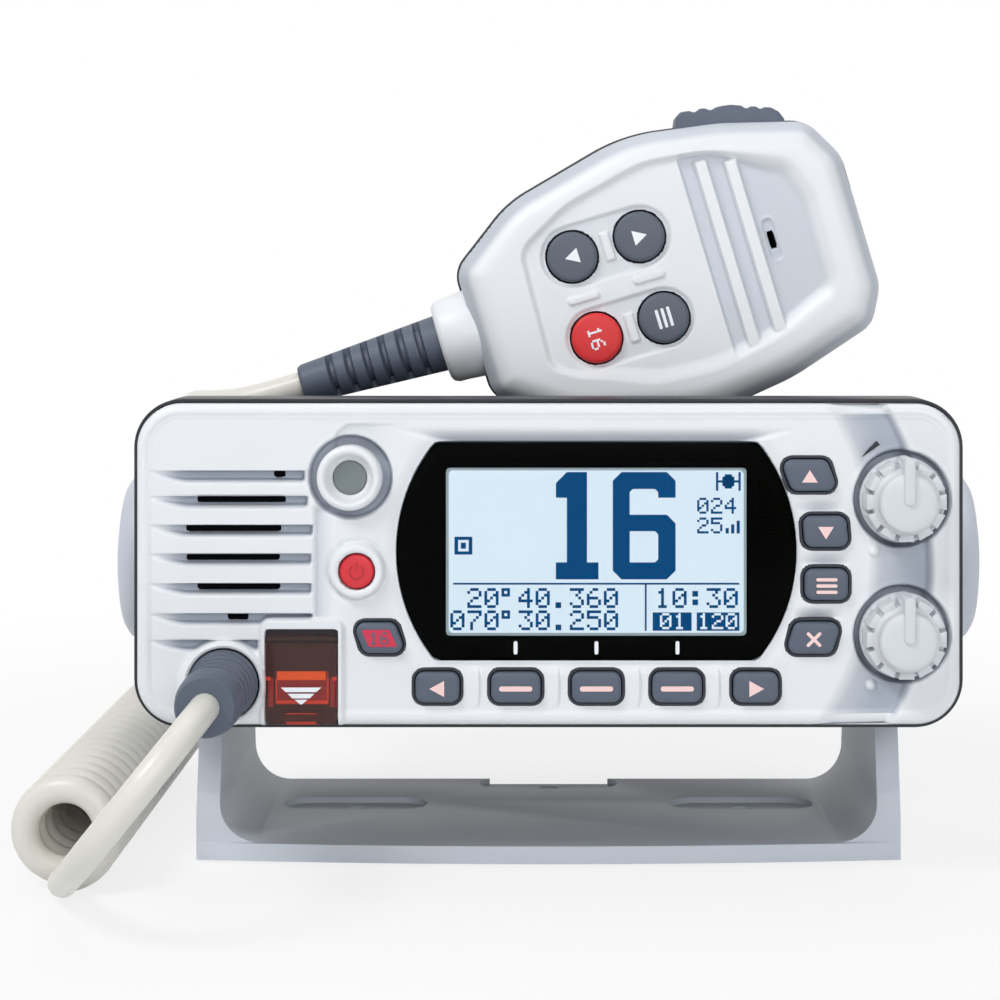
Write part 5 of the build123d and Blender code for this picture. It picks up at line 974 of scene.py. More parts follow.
def build_display(finish):
    """Window, black mask, lit display and its generic digits."""
    window = plate("display_window_pane", window_outline(), on_panel, -1.8, 0.0, 0.35, [finish["glass"]])
    finish_piece(window, "radio", ["display_window"])
    x_mid = WINDOW_MID[0]
    back = plate("display_back", box_outline(x_mid, LCD_MID_Z, LCD_HALF_W + 0.6, LCD_HALF_H + 0.6, 1.2),
                 on_panel,
                 -2.45, -2.17, 0.02, [finish["lcd_edge"]])
    lit = decal("display_light", box_outline(x_mid, LCD_MID_Z, LCD_HALF_W - 0.6, LCD_HALF_H - 0.6, 0.9),
                on_panel,
                -2.13, finish["lcd"])
    left, right = x_mid - 31.2, x_mid + 31.6
    boxes = []
    # channel number
    one = [(1.6, 17.6), (4.0, 20.0), (8.4, 20.0), (8.4, 0.3), (10.9, 0.3), (10.9, -3.4), (1.6, -3.4),
           (1.6, 0.3),
           (4.0, 0.3), (4.0, 14.4), (1.6, 14.4)]
    six_upper = [(14.0, -1.5), (14.0, 18.1), (15.9, 20.0), (25.8, 20.0), (27.7, 18.1), (27.7, 14.4),
                 (23.9, 14.4),
                 (23.9, 15.6), (23.2, 16.3), (18.4, 16.3), (17.7, 15.6), (17.7, -1.5)]
    six_lower = [(17.7, 10.7), (25.8, 10.7), (27.7, 8.8), (27.7, -1.5), (25.8, -3.4), (15.9, -3.4),
                 (14.0, -1.5),
                 (17.7, -1.5), (17.7, 0.3), (23.2, 0.3), (23.9, 1.0), (23.9, 6.4), (23.2, 7.1), (17.7, 7.1)]
    boxes += cells("024", 32.4, 14.4, 0.5)
    boxes += cells("25", 32.4, 10.1, 0.5)
    boxes += [(38.6 + 1.2 * k, 6.6, 39.3 + 1.2 * k, 7.8 + 0.8 * k) for k in range(3)]
    # position rows, clock, rules
    dot = 0.62
    boxes += cells("20o40.360", -17.7, -5.3, dot)
    boxes += cells("070o30.250", -21.4, -10.15, dot)
    boxes += cells("10:30", 23.3, -5.3, dot)
    boxes.append((left, -4.55, right - 0.4, -4.15))
    boxes.append((x_mid + 10.6, -14.6, x_mid + 11.0, -4.3))
    boxes.append((x_mid + 12.3, -14.6, x_mid + 20.8, -10.6))
    boxes.append((x_mid + 21.9, -14.6, x_mid + 31.2, -10.6))
    # signal mark at the top right, and a flag at the left
    boxes += [(36.5, 15.9, 37.0, 20.0), (41.4, 15.9, 41.9, 20.0), (37.9, 16.9, 40.5, 19.0),
              (38.4, 16.4, 40.0, 19.5),
              (37.0, 17.7, 41.4, 18.2)]
    boxes += [(left + 0.3, 2.0, left + 1.1, 5.9), (left + 3.4, 2.0, left + 4.2, 5.9),
              (left + 1.1, 2.0, left + 3.4, 2.7),
              (left + 1.1, 5.2, left + 3.4, 5.9), (left + 1.7, 3.3, left + 2.8, 4.6)]
    points, faces = box_faces(boxes, -2.12)
    for outline in (one, six_upper, six_lower):
        faces.append(tuple(range(len(points), len(points) + len(outline))))
        points += [on_panel(x, z, -2.12) for x, z in outline]
    ink = make_object("display_digits", points, faces, [finish["ink"]])
    light = cells("01", 24.3, -10.75, 0.5) + cells("120", 32.6, -10.75, 0.5)
    points, faces = box_faces(light, -2.112)
    marks = make_object("display_marks", points, faces, [finish["lcd"]])
    picture = join("display_picture", [back, lit, ink, marks])
    finish_piece(picture, "radio")
    ticks = [decal("tick", box_outline(x, -18.0, 0.42, 1.45, 0.4), on_panel, 0.05, finish["print_white"])
             for x in (-7.15, 10.4, 28.0)]
    finish_piece(join("window_ticks", ticks), "radio")


# ---------------------------------------------------------------- panel controls
def mark_shape(kind, x, z):
    """Outlines of the plain symbol on a key."""
    if kind == "left":
        return [np.array([(x - 1.7, z), (x + 1.5, z + 1.75), (x + 1.5, z - 1.75)])]
    if kind == "right":
        return [np.array([(x + 1.7, z), (x - 1.5, z - 1.75), (x - 1.5, z + 1.75)])]
    if kind == "up":
        return [np.array([(x - 1.7, z - 1.3), (x + 1.7, z - 1.3), (x, z + 1.4)])]
    if kind == "down":
        return [np.array([(x - 1.7, z + 1.3), (x, z - 1.4), (x + 1.7, z + 1.3)])]
    if kind == "dash":
        return [box_outline(x, z, 3.6, 0.55, 0.5)]
    if kind == "bars":
        return [box_outline(x, z + k * 1.35, 2.3, 0.36, 0.3) for k in (-1, 0, 1)]
    if kind == "cross":
        lines = []
        for sign in (1, -1):
            t = np.array([[0.707, -0.707 * sign], [0.707 * sign, 0.707]])
            lines.append(box_outline(0, 0, 2.1, 0.36, 0.3) @ t.T + (x, z))
        return lines
    return []


def build_panel_keys(finish):
    """Ten slate keys with their printed symbols."""
    marks = {"soft_key_left": "left", "soft_key_right": "right", "soft_key_1": "dash", "soft_key_2": "dash",
             "soft_key_3": "dash", "up_key": "up", "down_key": "down", "menu_key": "bars",
             "clear_key": "cross"}
    for name, (x, z, width, height, lean) in KEYS.items():
        cap = plate(name + "_cap", key_outline(x, z, width, height, lean), on_panel, -4.6, KEY_PROUD - 0.12,
                    0.75,
                    [finish["slate"]], crown=0.14)
        pieces = [cap]
        for row, outline in enumerate(mark_shape(marks.get(name), x, z - 0.2)):
            pieces.append(decal(name + "_mark", outline, on_panel, KEY_PROUD + 0.07 + 0.012 * row,
                                finish["print_pink"]))
        if name == "channel_key":
            label = rounded_outline([(x - 3.1 + 0.9, z - 1.8), (x + 3.4 + 0.5, z - 1.8),
                                     (x + 3.2 - 0.9, z + 1.9),
                                     (x - 3.6 - 0.3, z + 1.9)], [0.3] * 4)
            pieces.append(decal(name + "_label", label, on_panel, KEY_PROUD + 0.06, finish["label_red"]))
            for x0, z0, x1, z1 in cells("16", x - 2.15, z + 1.35, 0.38):
                outline = np.array([(x0, z0), (x1, z0), (x1, z1), (x0, z1)])
                pieces.append(decal("digit", outline, on_panel, KEY_PROUD + 0.1, finish["slate"]))
        piece = join(name + "_cap", pieces)
        finish_piece(piece, name, [name])


def build_power_button(finish):
    """Red button with a darker standby symbol."""
    x, z = POWER
    profile = [(3.76, 4.8)] + [(r, -a) for r, a in round_edge(3.76, 1.15, 0.7)] + [(2.0, -1.22), (0.9, -1.26),
                                                                                   (0.05, -1.27)]
    button = turned("button", profile, on_panel(x, z), (0, 1, 0), finish["red"])
    ring = [(math.cos(t) * r, math.sin(t) * r) for r,
            ts in ((1.75, np.linspace(2.1, 7.3, 30)), (1.3, np.linspace(7.3, 2.1, 30)))
            for t in ts]
    symbol = [np.array(ring) + (x, z - 0.1), box_outline(x, z + 1.05, 0.23, 1.05, 0.2)]
    pieces = [button] + [decal("symbol", s, on_panel, 1.34, finish["red_dark"]) for s in symbol]
    finish_piece(join("power_button_cap", pieces), "power_button", ["power_button"])


def build_hanger_stud(finish):
    """Dished ring with a grey plug, in its moat."""
    profile = [(5.6, 3.0), (7.1, 1.5), (7.1, -1.6), (7.0, -2.2), (6.8, -2.7), (6.45, -3.05), (6.1, -3.2),
               (5.75, -3.15),
               (5.4, -2.9), (5.1, -2.4), (4.75, -1.6), (4.3, -0.9), (3.85, -0.55), (3.72, -0.4), (3.72, 0.9),
               (0.05, 0.9)]
    stud = turned("hanger_stud_ring", profile, on_panel(*HANGER), (0, 1, 0), finish["smooth_white"], 96)
    finish_piece(stud, "radio", ["hanger_stud"])
    disc = [(3.6, 0.8), (3.6, -0.6), (3.5, -0.75), (3.2, -0.82), (2.4, -0.85), (0.05, -0.87)]
    plug = turned("hanger_plug_disc", disc, on_panel(*HANGER), (0, 1, 0), finish["plug"], 64)
    finish_piece(plug, "radio", ["hanger_plug"])


def build_panel_knobs(finish):
    """Volume and squelch knobs: flange, toothed drum, cap and pointer."""
    for name, z in KNOB_ZS.items():
        at = on_panel(KNOB_X, z)
        profile = [(4.6, 1.2), (9.3, 1.2), (9.3, -0.2), (9.2, -0.6), (8.9, -0.95), (8.3, -1.2), (7.3, -1.35),
                   (7.3, -5.6),
                   (7.2, -6.0), (6.9, -6.35), (6.5, -6.6), (6.35, -6.9), (6.35, -9.2), (6.25, -9.6),
                   (5.95, -9.95),
                   (5.5, -10.15), (4.0, -10.22), (2.0, -10.25), (0.05, -10.25)]
        body = turned("body", profile, at, (0, 1, 0), finish["knob_white"], 96)
        corners = []
        for proud, inner, outer in ((-0.6, 6.6, 9.1), (6.1, 6.6, 8.55)):
            for x, w in ((inner, -1.35), (outer, -1.75), (outer, 1.75), (inner, 1.35)):
                corners.append((KNOB_X + x, FACE_Y - proud, MID_Z + z + w))
        tooth = block("tooth", corners, finish["knob_white"], 0.22)
        teeth = repeat(tooth, 12, (0, math.radians(30), 0), at, finish["knob_white"])
        bar = plate("bar", box_outline(KNOB_X, z + 4.7, 1.2, 5.0, 0.9), on_panel, 1.0, 11.0, 0.45,
                    [finish["knob_white"]])
        piece = join(name + "_knob_body", [body, teeth, bar])
        finish_piece(piece, name, [name + "_knob"])
    outline = rounded_outline([(68.0, 23.3), (68.6, 24.2), (71.2, 27.0), (72.0, 26.1)], [0.05, 0.3, 0.2, 0.1])
    wedge = decal("volume_wedge", outline, on_panel, -0.1, finish["print_black"])
    finish_piece(wedge, "radio")


def build_distress_cover(finish):
    """See-through cover with its barrel, lip and arrows, over the red key."""
    mid_z = (COVER_LOW + COVER_HIGH) / 2
    cover = plate("lid", box_outline(COVER_X, mid_z, COVER_W / 2, (COVER_HIGH - COVER_LOW) / 2, 1.1),
                  on_panel, -0.3,
                  COVER_PROUD, 0.4, [finish["cover"]])
    lip = plate("lip", box_outline(COVER_X, COVER_LOW + 1.6, 4.2, 0.7, 0.3), on_panel, COVER_PROUD - 0.1,
                COVER_PROUD + 0.9, 0.2, [finish["cover"]])
    pieces = [cover, lip]
    # painted shade: the large dark plate stands for the shaded well seen through the lid
    behind = [
        ("lid_dark", -53.65, -24.85, 7.6, 9.6, -0.5), ("lid_red", -53.5, -26.7, 5.7, 3.6, -0.42),
        ("lid_red", -60.3, -27.7, 0.55, 3.2, -0.42), ("lid_red", -46.95, -27.7, 0.5, 3.2, -0.42),
        ("lid_orange", -53.65, -24.05, 5.25, 0.95, -0.36), ("lid_line", -53.5, -29.8, 5.7, 0.35, -0.36),
        ("lid_line", -59.1, -27.2, 0.14, 2.6, -0.36), ("lid_line", -47.9, -27.2, 0.14, 2.6, -0.36),
        ("lid_line", -60.7, -24.7, 0.4, 0.4, -0.36), ("lid_line", -46.5, -24.7, 0.4, 0.4, -0.36),
        ("lid_line", -53.7, -32.4, 3.3, 0.17, -0.36), ("lid_line", -53.7, -34.2, 3.3, 0.17, -0.36),
    ]
    for kind, x, z, half_w, half_h, proud in behind:
        outline = box_outline(x, z, half_w, half_h, 0.12)
        pieces.append(decal("lid_back", outline, on_panel, proud, finish[kind]))
    for top, low, half_top, half_low in ((-26.4, -27.4, 4.4, 3.3), (-27.75, -28.75, 2.9, 1.9),
                                         (-29.05, -30.05, 1.4, 0.2)):
        outline = np.array([(COVER_X - half_top, top), (COVER_X + half_top, top), (COVER_X + half_low, low),
                            (COVER_X - half_low, low)])
        pieces.append(decal("arrow", outline, on_panel, COVER_PROUD + 0.06, finish["print_white"]))
    piece = join("distress_cover_lid", pieces)
    finish_piece(piece, "distress_cover", ["distress_cover"])
    # painted shade: a dark strip at the lid's hinge
    shade = decal("cover_hinge_shade", box_outline(COVER_X, COVER_HINGE_Z, 7.7, 1.05, 0.3), on_panel, -0.9,
                  finish["lid_dark"])
    finish_piece(shade, "distress_cover")


# ---------------------------------------------------------------- boots and cord
def ribbed_boot(name, origin, direction, length, base_r, end_r, rings, first, pitch, gap, finish, neck):
    """A tapered rubber boot with slots across it, each an arc on alternate sides."""
    side, up = frame_axes(direction)
    d = Vector(direction).normalized()
    sides, steps = 72, int(length / 0.3)
    points = []
    for k in range(steps + 1):
        along = length * k / steps
        base = base_r + (end_r - base_r) * along / length
        for i in range(sides):
            angle = 2 * math.pi * i / sides
            cut = 0.0
            for ring in range(rings):
                centre = first + ring * pitch
                inside = abs(along - centre)
                if inside < gap:
                    facing = math.cos(angle - (ring % 2) * math.pi)
                    cut = max(cut, neck * min(1, (gap - inside) / 0.35) * (1 if abs(facing) > 0.25 else 0))
            r = base - cut
            if along < 0.6:
                r -= 0.5 * (0.6 - along)
            if length - along < 0.8:
                r -= 0.5 * (0.8 - (length - along))
            p = Vector(origin) + d * along + side * (r * math.cos(angle)) + up * (r * math.sin(angle))
            points.append(tuple(p))
    return closed_shape(name, points, tube_faces(steps + 1, sides), [finish], 35)


def build_boots(finish):
    """Strain reliefs on the panel and at the microphone's neck."""
    profile, radius = [(7.5, 0.6)], 7.5
    for k in range(5):
        start = 1.6 + 3.5 * k
        profile += [(radius, start), (radius - 1.1, start + 0.35), (radius - 1.1, start + 0.75),
                    (radius - 0.22, start + 1.05)]
        radius -= 0.22
    profile += [(6.3, 19.0), (5.9, 19.6), (5.6, 27.2)]
    boot = turned("boot", profile, on_panel(*BOOT), (0, -1, 0), finish["slate"], sharp=30)
    cap = turned("cap", [(5.9, -19.0), (6.7, -19.4), (6.95, -20.0), (6.9, -23.8), (6.4, -27.3), (6.1, -28.0),
                         (3.3, -28.0)],
                 on_panel(*BOOT), (0, 1, 0), finish["slate"])
    collar = turned("collar", [(9.3, 0.6), (9.25, -0.1), (8.95, -0.75), (8.45, -1.1), (8.0, -0.95),
                               (7.75, -0.45), (7.7, 0.8)],
                    on_panel(*BOOT), (0, 1, 0), finish["white"], 96, closed=False)
    shade = turned("shade", [(7.8, 0.1), (7.8, 0.02), (0.05, 0.0)], on_panel(*BOOT), (0, 1, 0),
                   finish["screen"], 96)
    finish_piece(join("boot_collar", [collar, shade]), "radio")
    piece = join("panel_cord_boot_body", [boot, cap])
    finish_piece(piece, "radio", ["panel_cord_boot"])
    along = (math.cos(MIC_TURN), 0, math.sin(MIC_TURN))
    boot = ribbed_boot("mic_boot_body", on_mic(2.0, 0), tuple(-v for v in along), 36.4, 6.8, 4.6, 6, 7.0, 4.3,
                       0.85,
                       finish["slate"], 1.7)
    finish_piece(boot, "mic", ["mic_boot"])


def cord_line(name, points):
    """The cord's own NURBS spline through a route in millimetres."""
    curve = bpy.data.curves.new(name, "CURVE")
    curve.dimensions = "3D"
    curve.resolution_u = 4
    spline = curve.splines.new("NURBS")
    spline.points.add(len(points) - 1)
    for point, place in zip(spline.points, points):
        point.co = (*[value * MM for value in place], 1.0)
    spline.order_u = 3
    spline.use_endpoint_u = True
    obj = bpy.data.objects.new(name, curve)
    bpy.context.scene.collection.objects.link(obj)
    bpy.context.view_layer.update()
    graph = bpy.context.evaluated_depsgraph_get()
    mesh = bpy.data.meshes.new_from_object(obj.evaluated_get(graph), depsgraph=graph)
    line = [tuple(v.co) for v in mesh.vertices]
    bpy.data.meshes.remove(mesh)
    bpy.data.objects.remove(obj)
    return np.array(line)


def cord_tube(name, line, diameter, finish, sides=18):
    """A round tube that follows a line in metres, with closed ends."""
    tangents = np.gradient(line, axis=0)
    tangents /= np.linalg.norm(tangents, axis=1)[:, None]
    normal = np.cross(tangents[0], (0, 0, 1.0))
    normal /= np.linalg.norm(normal)
    points = []
    angles = np.linspace(0, 2 * math.pi, sides, endpoint=False)
    for at, tangent in zip(line, tangents):
        normal = normal - tangent * np.dot(normal, tangent)
        normal /= np.linalg.norm(normal)
        across = np.cross(tangent, normal)
        for angle in angles:
            points.append(at + (normal * math.cos(angle) + across * math.sin(angle)) * diameter / 2)
    faces = tube_faces(len(line), sides)
    return outward(make_object(name, np.array(points) / MM, faces, [finish], sharp=60))


def coil_points(turns, start_y, end_y):
    """The curly stretch: from the bottom, turning towards the radio, front to back."""
    per_turn = 16
    radius = COIL_LINE_R / 0.981
    points = []
    for k in range(int(turns * per_turn) + 1):
        angle = -math.pi / 2 + 2 * math.pi * k / per_turn
        y = start_y + (end_y - start_y) * k / (turns * per_turn)
        points.append((COIL_X + radius * math.cos(angle), y, COIL_Z + radius * math.sin(angle)))
    return points


def build_cord(finish):
    """The microphone cord: lead from the panel, coil beside the radio, lead to the microphone."""
    sizes = bpy.context.scene.radio_sizes
    turns = sizes.coil_turns
    route = LEAD_FRONT[:-1] + coil_points(turns, -60.5, 68.5) + LEAD_REAR_LOWER
    line = cord_line("cord_route", route)
    lead = cord_tube("curly_cord", line, CORD_D * MM, finish["cord"])
    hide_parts("cord_lead_front", "cord_coil", "cord_lead_rear_lower")
    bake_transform(lead)
    line = cord_line("upper_route", LEAD_REAR_UPPER)
    upper = cord_tube("microphone_lead", line, CORD_D * MM, finish["cord"])
    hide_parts("cord_lead_rear_upper")
    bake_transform(upper)


# ---------------------------------------------------------------- microphone
def mic_outline():
    """The microphone's outline."""
    upper = [(8.0, 15.0), (24.0, 26.4), (54.0, 33.7), (76.0, 30.2), (95.5, 24.8), (100.9, 15.0)]
    lower = [(8.0, -15.0), (24.0, -26.4), (54.0, -33.8), (76.0, -30.8), (96.5, -24.6), (100.8, -16.5)]
    radii = [6.0, 26.0, 40.0, 40.0, 7.0, 9.0]
    corners = upper + lower[::-1]
    return rounded_outline(corners[::-1], (radii + radii[::-1])[::-1], step=0.8)


def mic_height(u, w):
    """How far the microphone's front stands in front of its parting line."""
    edge = -distance(u, w, MIC_LINE)
    rim = 14.5 * np.sqrt(np.clip(1 - np.clip((7.2 - edge) / 8.4, 0, 1) ** 2.3, 0, 1))
    h = rim
    floor_line = -distance(u, w, MIC_DISH)
    width = 1.5 + 3.2 * ease((u - 72.0) / 14.0) + 2.4 * ease((-w - 12.0) / 7.0) * ease((u - 26.0) / 10.0)
    dish = ease(floor_line / width)
    h = h - 2.4 * dish
    h = h + 1.2 * ease((64.3 - u) / 0.6) * dish
    # sunk pills round both rows of keys, with their bridges and small bars
    for mid_w, radius in ((10.4, 7.5), (-9.0, 7.3)):
        away = np.hypot(u - np.clip(u, 34.6, 50.7), w - mid_w)
        bridge = ease((1.3 - np.abs(u - 43.0)) / 0.5) * ease((3.6 - np.abs(w - mid_w)) / 0.5)
        h = h - 0.6 * ease((radius - away) / 0.8) * (1 - bridge)
    for mid_u, mid_w in ((34.4, 0.6), (50.1, 0.9)):
        away = np.hypot(u - np.clip(u, mid_u - 2.8, mid_u + 2.8), w - mid_w)
        h = h + 0.65 * ease((1.2 - away) / 0.6)
    # two long ribs and the sound slot's oblong recess
    for mid_u, mid_w, half in ((68.9, 0.9, 22.6), (75.5, 0.8, 20.9)):
        rib = ease((1.7 - np.abs(u - mid_u)) / 0.55) * ease((half - np.abs(w - mid_w)) / 1.0)
        h = h + np.clip(13.9 - h, 0, None) * rib
    away = np.hypot(u - 79.6, w - np.clip(w, -2.7, 4.7))
    h = h - 0.45 * ease((1.35 - away) / 0.4)
    h = h + 0.15 * ease((0.35 - np.abs(away - 1.6)) / 0.3)
    return h


MIC_LINE = mic_outline()
PTT_LINE = [
    (66.6, 33.1), (67.3, 34.7), (68.5, 35.4), (70.6, 35.1), (71.6, 34.3), (73.0, 34.9),
    (74.3, 34.6), (75.3, 33.7), (76.7, 34.1), (78.4, 34.0), (80.2, 33.7), (82.5, 32.8),
    (83.4, 31.7), (84.5, 32.0), (85.8, 31.6), (86.4, 30.7), (87.5, 30.9), (89.0, 30.4),
    (90.5, 28.9), (91.2, 27.0), (91.2, 25.6), (90.3, 22.6), (65.5, 29.5),
]
MIC_DISH = rounded_outline(
    [(22.0, -13.0), (23.0, 15.5), (36.0, 22.5), (56.0, 27.0), (70.0, 25.3), (89.5, 18.2), (92.8, 8.0),
     (92.2, -15.0),
     (80.0, -20.3), (60.0, -24.4), (45.0, -23.6), (28.0, -16.5)], [6, 6, 20, 25, 25, 8, 14, 7, 20, 25, 20, 8])


def build_mic_front(finish):
    """White front shell of the microphone, with its collar at the neck."""
    cell = 0.33
    us = np.arange(6.0, MIC_L + 1.5 * cell, cell)
    ws = np.arange(-34.5, 34.5, cell)
    cuts = [(circle_outline(u, w, MIC_KEY_R + 0.45), -6.0) for u, w, _, _ in MIC_KEYS.values()]
    cuts.append((box_outline(79.6, 1.0, 0.8, 2.1, 0.7), -10.0))
    points, faces = mic_sheet(us, ws, cuts)
    space = [on_mic(u, w, p) for u, w, p in points]
    middle = points[faces].mean(1)
    # painted shade: the sound slot's faces take the black of the screen cloth
    slot = distance(middle[:, 0], middle[:, 1], cuts[-1][0], reach=1.0) < 0.03
    # painted shade: the shell's hollows turn towards a blue grey with depth below its top
    shell_white_painted_shade = with_painted_recess_shade("Microphone white", finish["white"], linear(160, 169, 184), {
        "Face": (MIC_AT[1] - MIC_FRONT_T) * MM, "Start": 0.9 * MM, "Full": 3.0 * MM, "End": 1.0, "Share": 0.6,
        "Half width": 1.0, "Middle": 0.0, "Half height": 1.0})
    sheet = make_object("sheet", space, faces, [shell_white_painted_shade, finish["screen"]], slot.astype(int), sharp=40)
    tops = mic_height(MIC_LINE[:, 0], MIC_LINE[:, 1])
    levels = (1.0, 0.66, 0.33, -0.02)
    strip = [on_mic(u, w, share * p) for share in levels for (u, w), p in zip(MIC_LINE, tops)]
    faces = tube_faces(len(levels), len(MIC_LINE), closed=False)
    band = make_object("band", strip, faces, [finish["white"]], sharp=40)
    collar = turned("collar",
                    [(6.2, 0.2), (8.6, 0.0), (9.4, 0.5), (9.9, 1.6), (10.0, 4.0), (10.4, 8.0), (9.0, 14.0)],
                    on_mic(-0.4, 0.0, 0.0), (math.cos(MIC_TURN), 0, math.sin(MIC_TURN)), finish["white"], 72)
    piece = join("mic_front_body", [sheet, band, collar], sharp=40)
    finish_piece(piece, "mic", ["mic_front_shell"])


def mic_sheet(us, ws, cuts):
    """The front shell's surface as a moulded sheet over the outline."""
    cell = us[1] - us[0]
    u, w = np.meshgrid(us, ws)
    low = np.zeros(u.shape)
    hole = np.zeros(u.shape, bool)
    for line, depth in cuts:
        away = distance(u, w, line, reach=2.0)
        u, w = move_onto(u, w, away, line, np.abs(away) < 0.55 * cell, reach=2.0)
        low = np.where(away < -0.55 * cell, -depth, low)
        hole |= away < -1.7 * cell
    away = distance(u, w, MIC_LINE)
    outside = away > 0.75 * cell
    u, w = move_onto(u, w, away, MIC_LINE, away > -0.5 * cell)
    h = mic_height(u, w)
    h = np.where(low > 0, low, h)
    return sheet_mesh(u, w, h, outside, hole)


def build_mic_keys(finish):
    """Four round keys of the microphone with their symbols."""
    top = MIC_FRONT_T - 0.2
    for name, (u, w, kind, mark) in MIC_KEYS.items():
        cap = plate(name + "_cap", circle_outline(u, w, MIC_KEY_R, 72), on_mic, 6.0, top - 0.15, 0.9,
                    [finish[kind]], crown=0.25)
        pieces = [cap]
        ink = finish["print_white"]
        if mark == "digits":
            shapes = [np.array([(x0, z0), (x1, z0), (x1, z1), (x0, z1)]) for x0, z0, x1, z1 in
                      cells("16", -2.6, 1.6, 0.47)]
        else:
            shapes = mark_shape(mark, 0, 0)
        for shape in shapes:
            placed = shape if mark in ("left", "right") else np.stack([shape[:, 1], -shape[:, 0]], 1)
            pieces.append(decal(name + "_mark", placed + (u, w), on_mic, top + 0.12, ink))
        finish_piece(join(name + "_cap", pieces), name, [name])


def build_mic_rest(finish):
    """Rear shell, push-to-talk bar and hanger button of the microphone."""
    rear = soft_copy("mic_rear_body", "mic_rear_shell", finish["dark"], 0.4)
    turn = np.array([[math.cos(MIC_TURN), math.sin(MIC_TURN)], [-math.sin(MIC_TURN), math.cos(MIC_TURN)]])
    place = np.array([v.co for v in rear.data.vertices]) / MM
    flat = (place[:, [0, 2]] - (MIC_AT[0], MIC_AT[2])) @ turn.T
    away = distance(flat[:, 0], flat[:, 1], MIC_LINE)
    lean = np.stack([distance(flat[:, 0] + 0.01, flat[:, 1], MIC_LINE) - away,
                     distance(flat[:, 0], flat[:, 1] + 0.01, MIC_LINE) - away], 1)
    lean /= np.linalg.norm(lean, axis=1)[:, None] + 1e-9
    outside = (away > 0.4) & (flat[:, 0] > 12.0)
    flat[outside] -= lean[outside] * (away[outside] - 0.4)[:, None]
    place[:, [0, 2]] = flat @ turn + (MIC_AT[0], MIC_AT[2])
    rear.data.vertices.foreach_set("co", (place * MM).astype(np.float32).ravel())
    rear.data.update()
    following = np.roll(MIC_LINE, -1, axis=0) - np.roll(MIC_LINE, 1, axis=0)
    normal = np.stack([following[:, 1], -following[:, 0]], 1)
    normal /= np.linalg.norm(normal, axis=1)[:, None]
    normal *= np.sign(((MIC_LINE - MIC_LINE.mean(0)) * normal).sum())
    rim = plate("rear_rim", MIC_LINE + normal * 0.8, on_mic, -6.0, -0.25, 0.4, [finish["dark"]])
    rear = join("mic_rear_body", [rear, rim])
    finish_piece(rear, "mic", ["mic_rear_shell"])
    wave = rounded_outline(PTT_LINE[::-1], [1.2] * len(PTT_LINE), step=0.5)
    count = len(wave)
    points = [on_mic(u, w, p) for p in (-9.0, 5.0) for u, w in wave]
    faces = [tuple(range(count)), tuple(range(count, 2 * count))[::-1]]
    faces += [(i, (i + 1) % count, count + (i + 1) % count, count + i) for i in range(count)]
    bar = outward(make_object("ptt_bar", points, faces, [finish["slate"]]))
    edge = bar.modifiers.new("Edges", "BEVEL")
    edge.width, edge.segments, edge.limit_method, edge.angle_limit = 1.1 * MM, 4, "ANGLE", math.radians(60)
    bar = smooth(apply_modifiers(bar, finish["slate"]), 50)
    finish_piece(bar, "ptt_key", ["ptt_key"])


# ---------------------------------------------------------------- bracket, knobs, housing
def bracket_painted_highlight(plain):
    """The bracket's plastic, paler under a curved line along the front of its foot."""
    if "Bracket shaded" in bpy.data.materials:
        return bpy.data.materials["Bracket shaded"]
    material = plain.copy()
    material.name = "Bracket shaded"
    nodes, links = material.node_tree.nodes, material.node_tree.links
    grain = next(node for node in nodes if node.type == "GROUP")
    where = nodes.new("ShaderNodeTexCoord")
    split = nodes.new("ShaderNodeSeparateXYZ")
    links.new(where.outputs["Object"], split.inputs["Vector"])
    # painted highlight: the front of the foot, below the curve, is paler
    bow = calculate(material.node_tree, "MULTIPLY", split.outputs["X"], split.outputs["X"])
    line = calculate(material.node_tree, "MULTIPLY_ADD", bow, -1.45, split.outputs["Z"])
    share = nodes.new("ShaderNodeMapRange")
    share.interpolation_type = "SMOOTHSTEP"
    share.inputs["From Min"].default_value = 5.6 * MM
    share.inputs["From Max"].default_value = 7.0 * MM
    links.new(line, share.inputs["Value"])
    colour = nodes.new("ShaderNodeMix")
    colour.data_type = "RGBA"
    links.new(share.outputs["Result"], colour.inputs["Factor"])
    base = grain.inputs["Colour"].default_value
    colour.inputs[6].default_value = (min(1, base[0] * 1.1), min(1, base[1] * 1.1), min(1, base[2] * 1.08), 1)
    colour.inputs[7].default_value = base
    links.new(colour.outputs[2], grain.inputs["Colour"])
    return material


def build_bracket(finish):
    """U bracket with softened edges."""
    bracket = soft_copy("bracket_body", "mounting_bracket", bracket_painted_highlight(finish["bracket"]), 0.9,
                        segments=3)
    finish_piece(bracket, "bracket", ["mounting_bracket"])


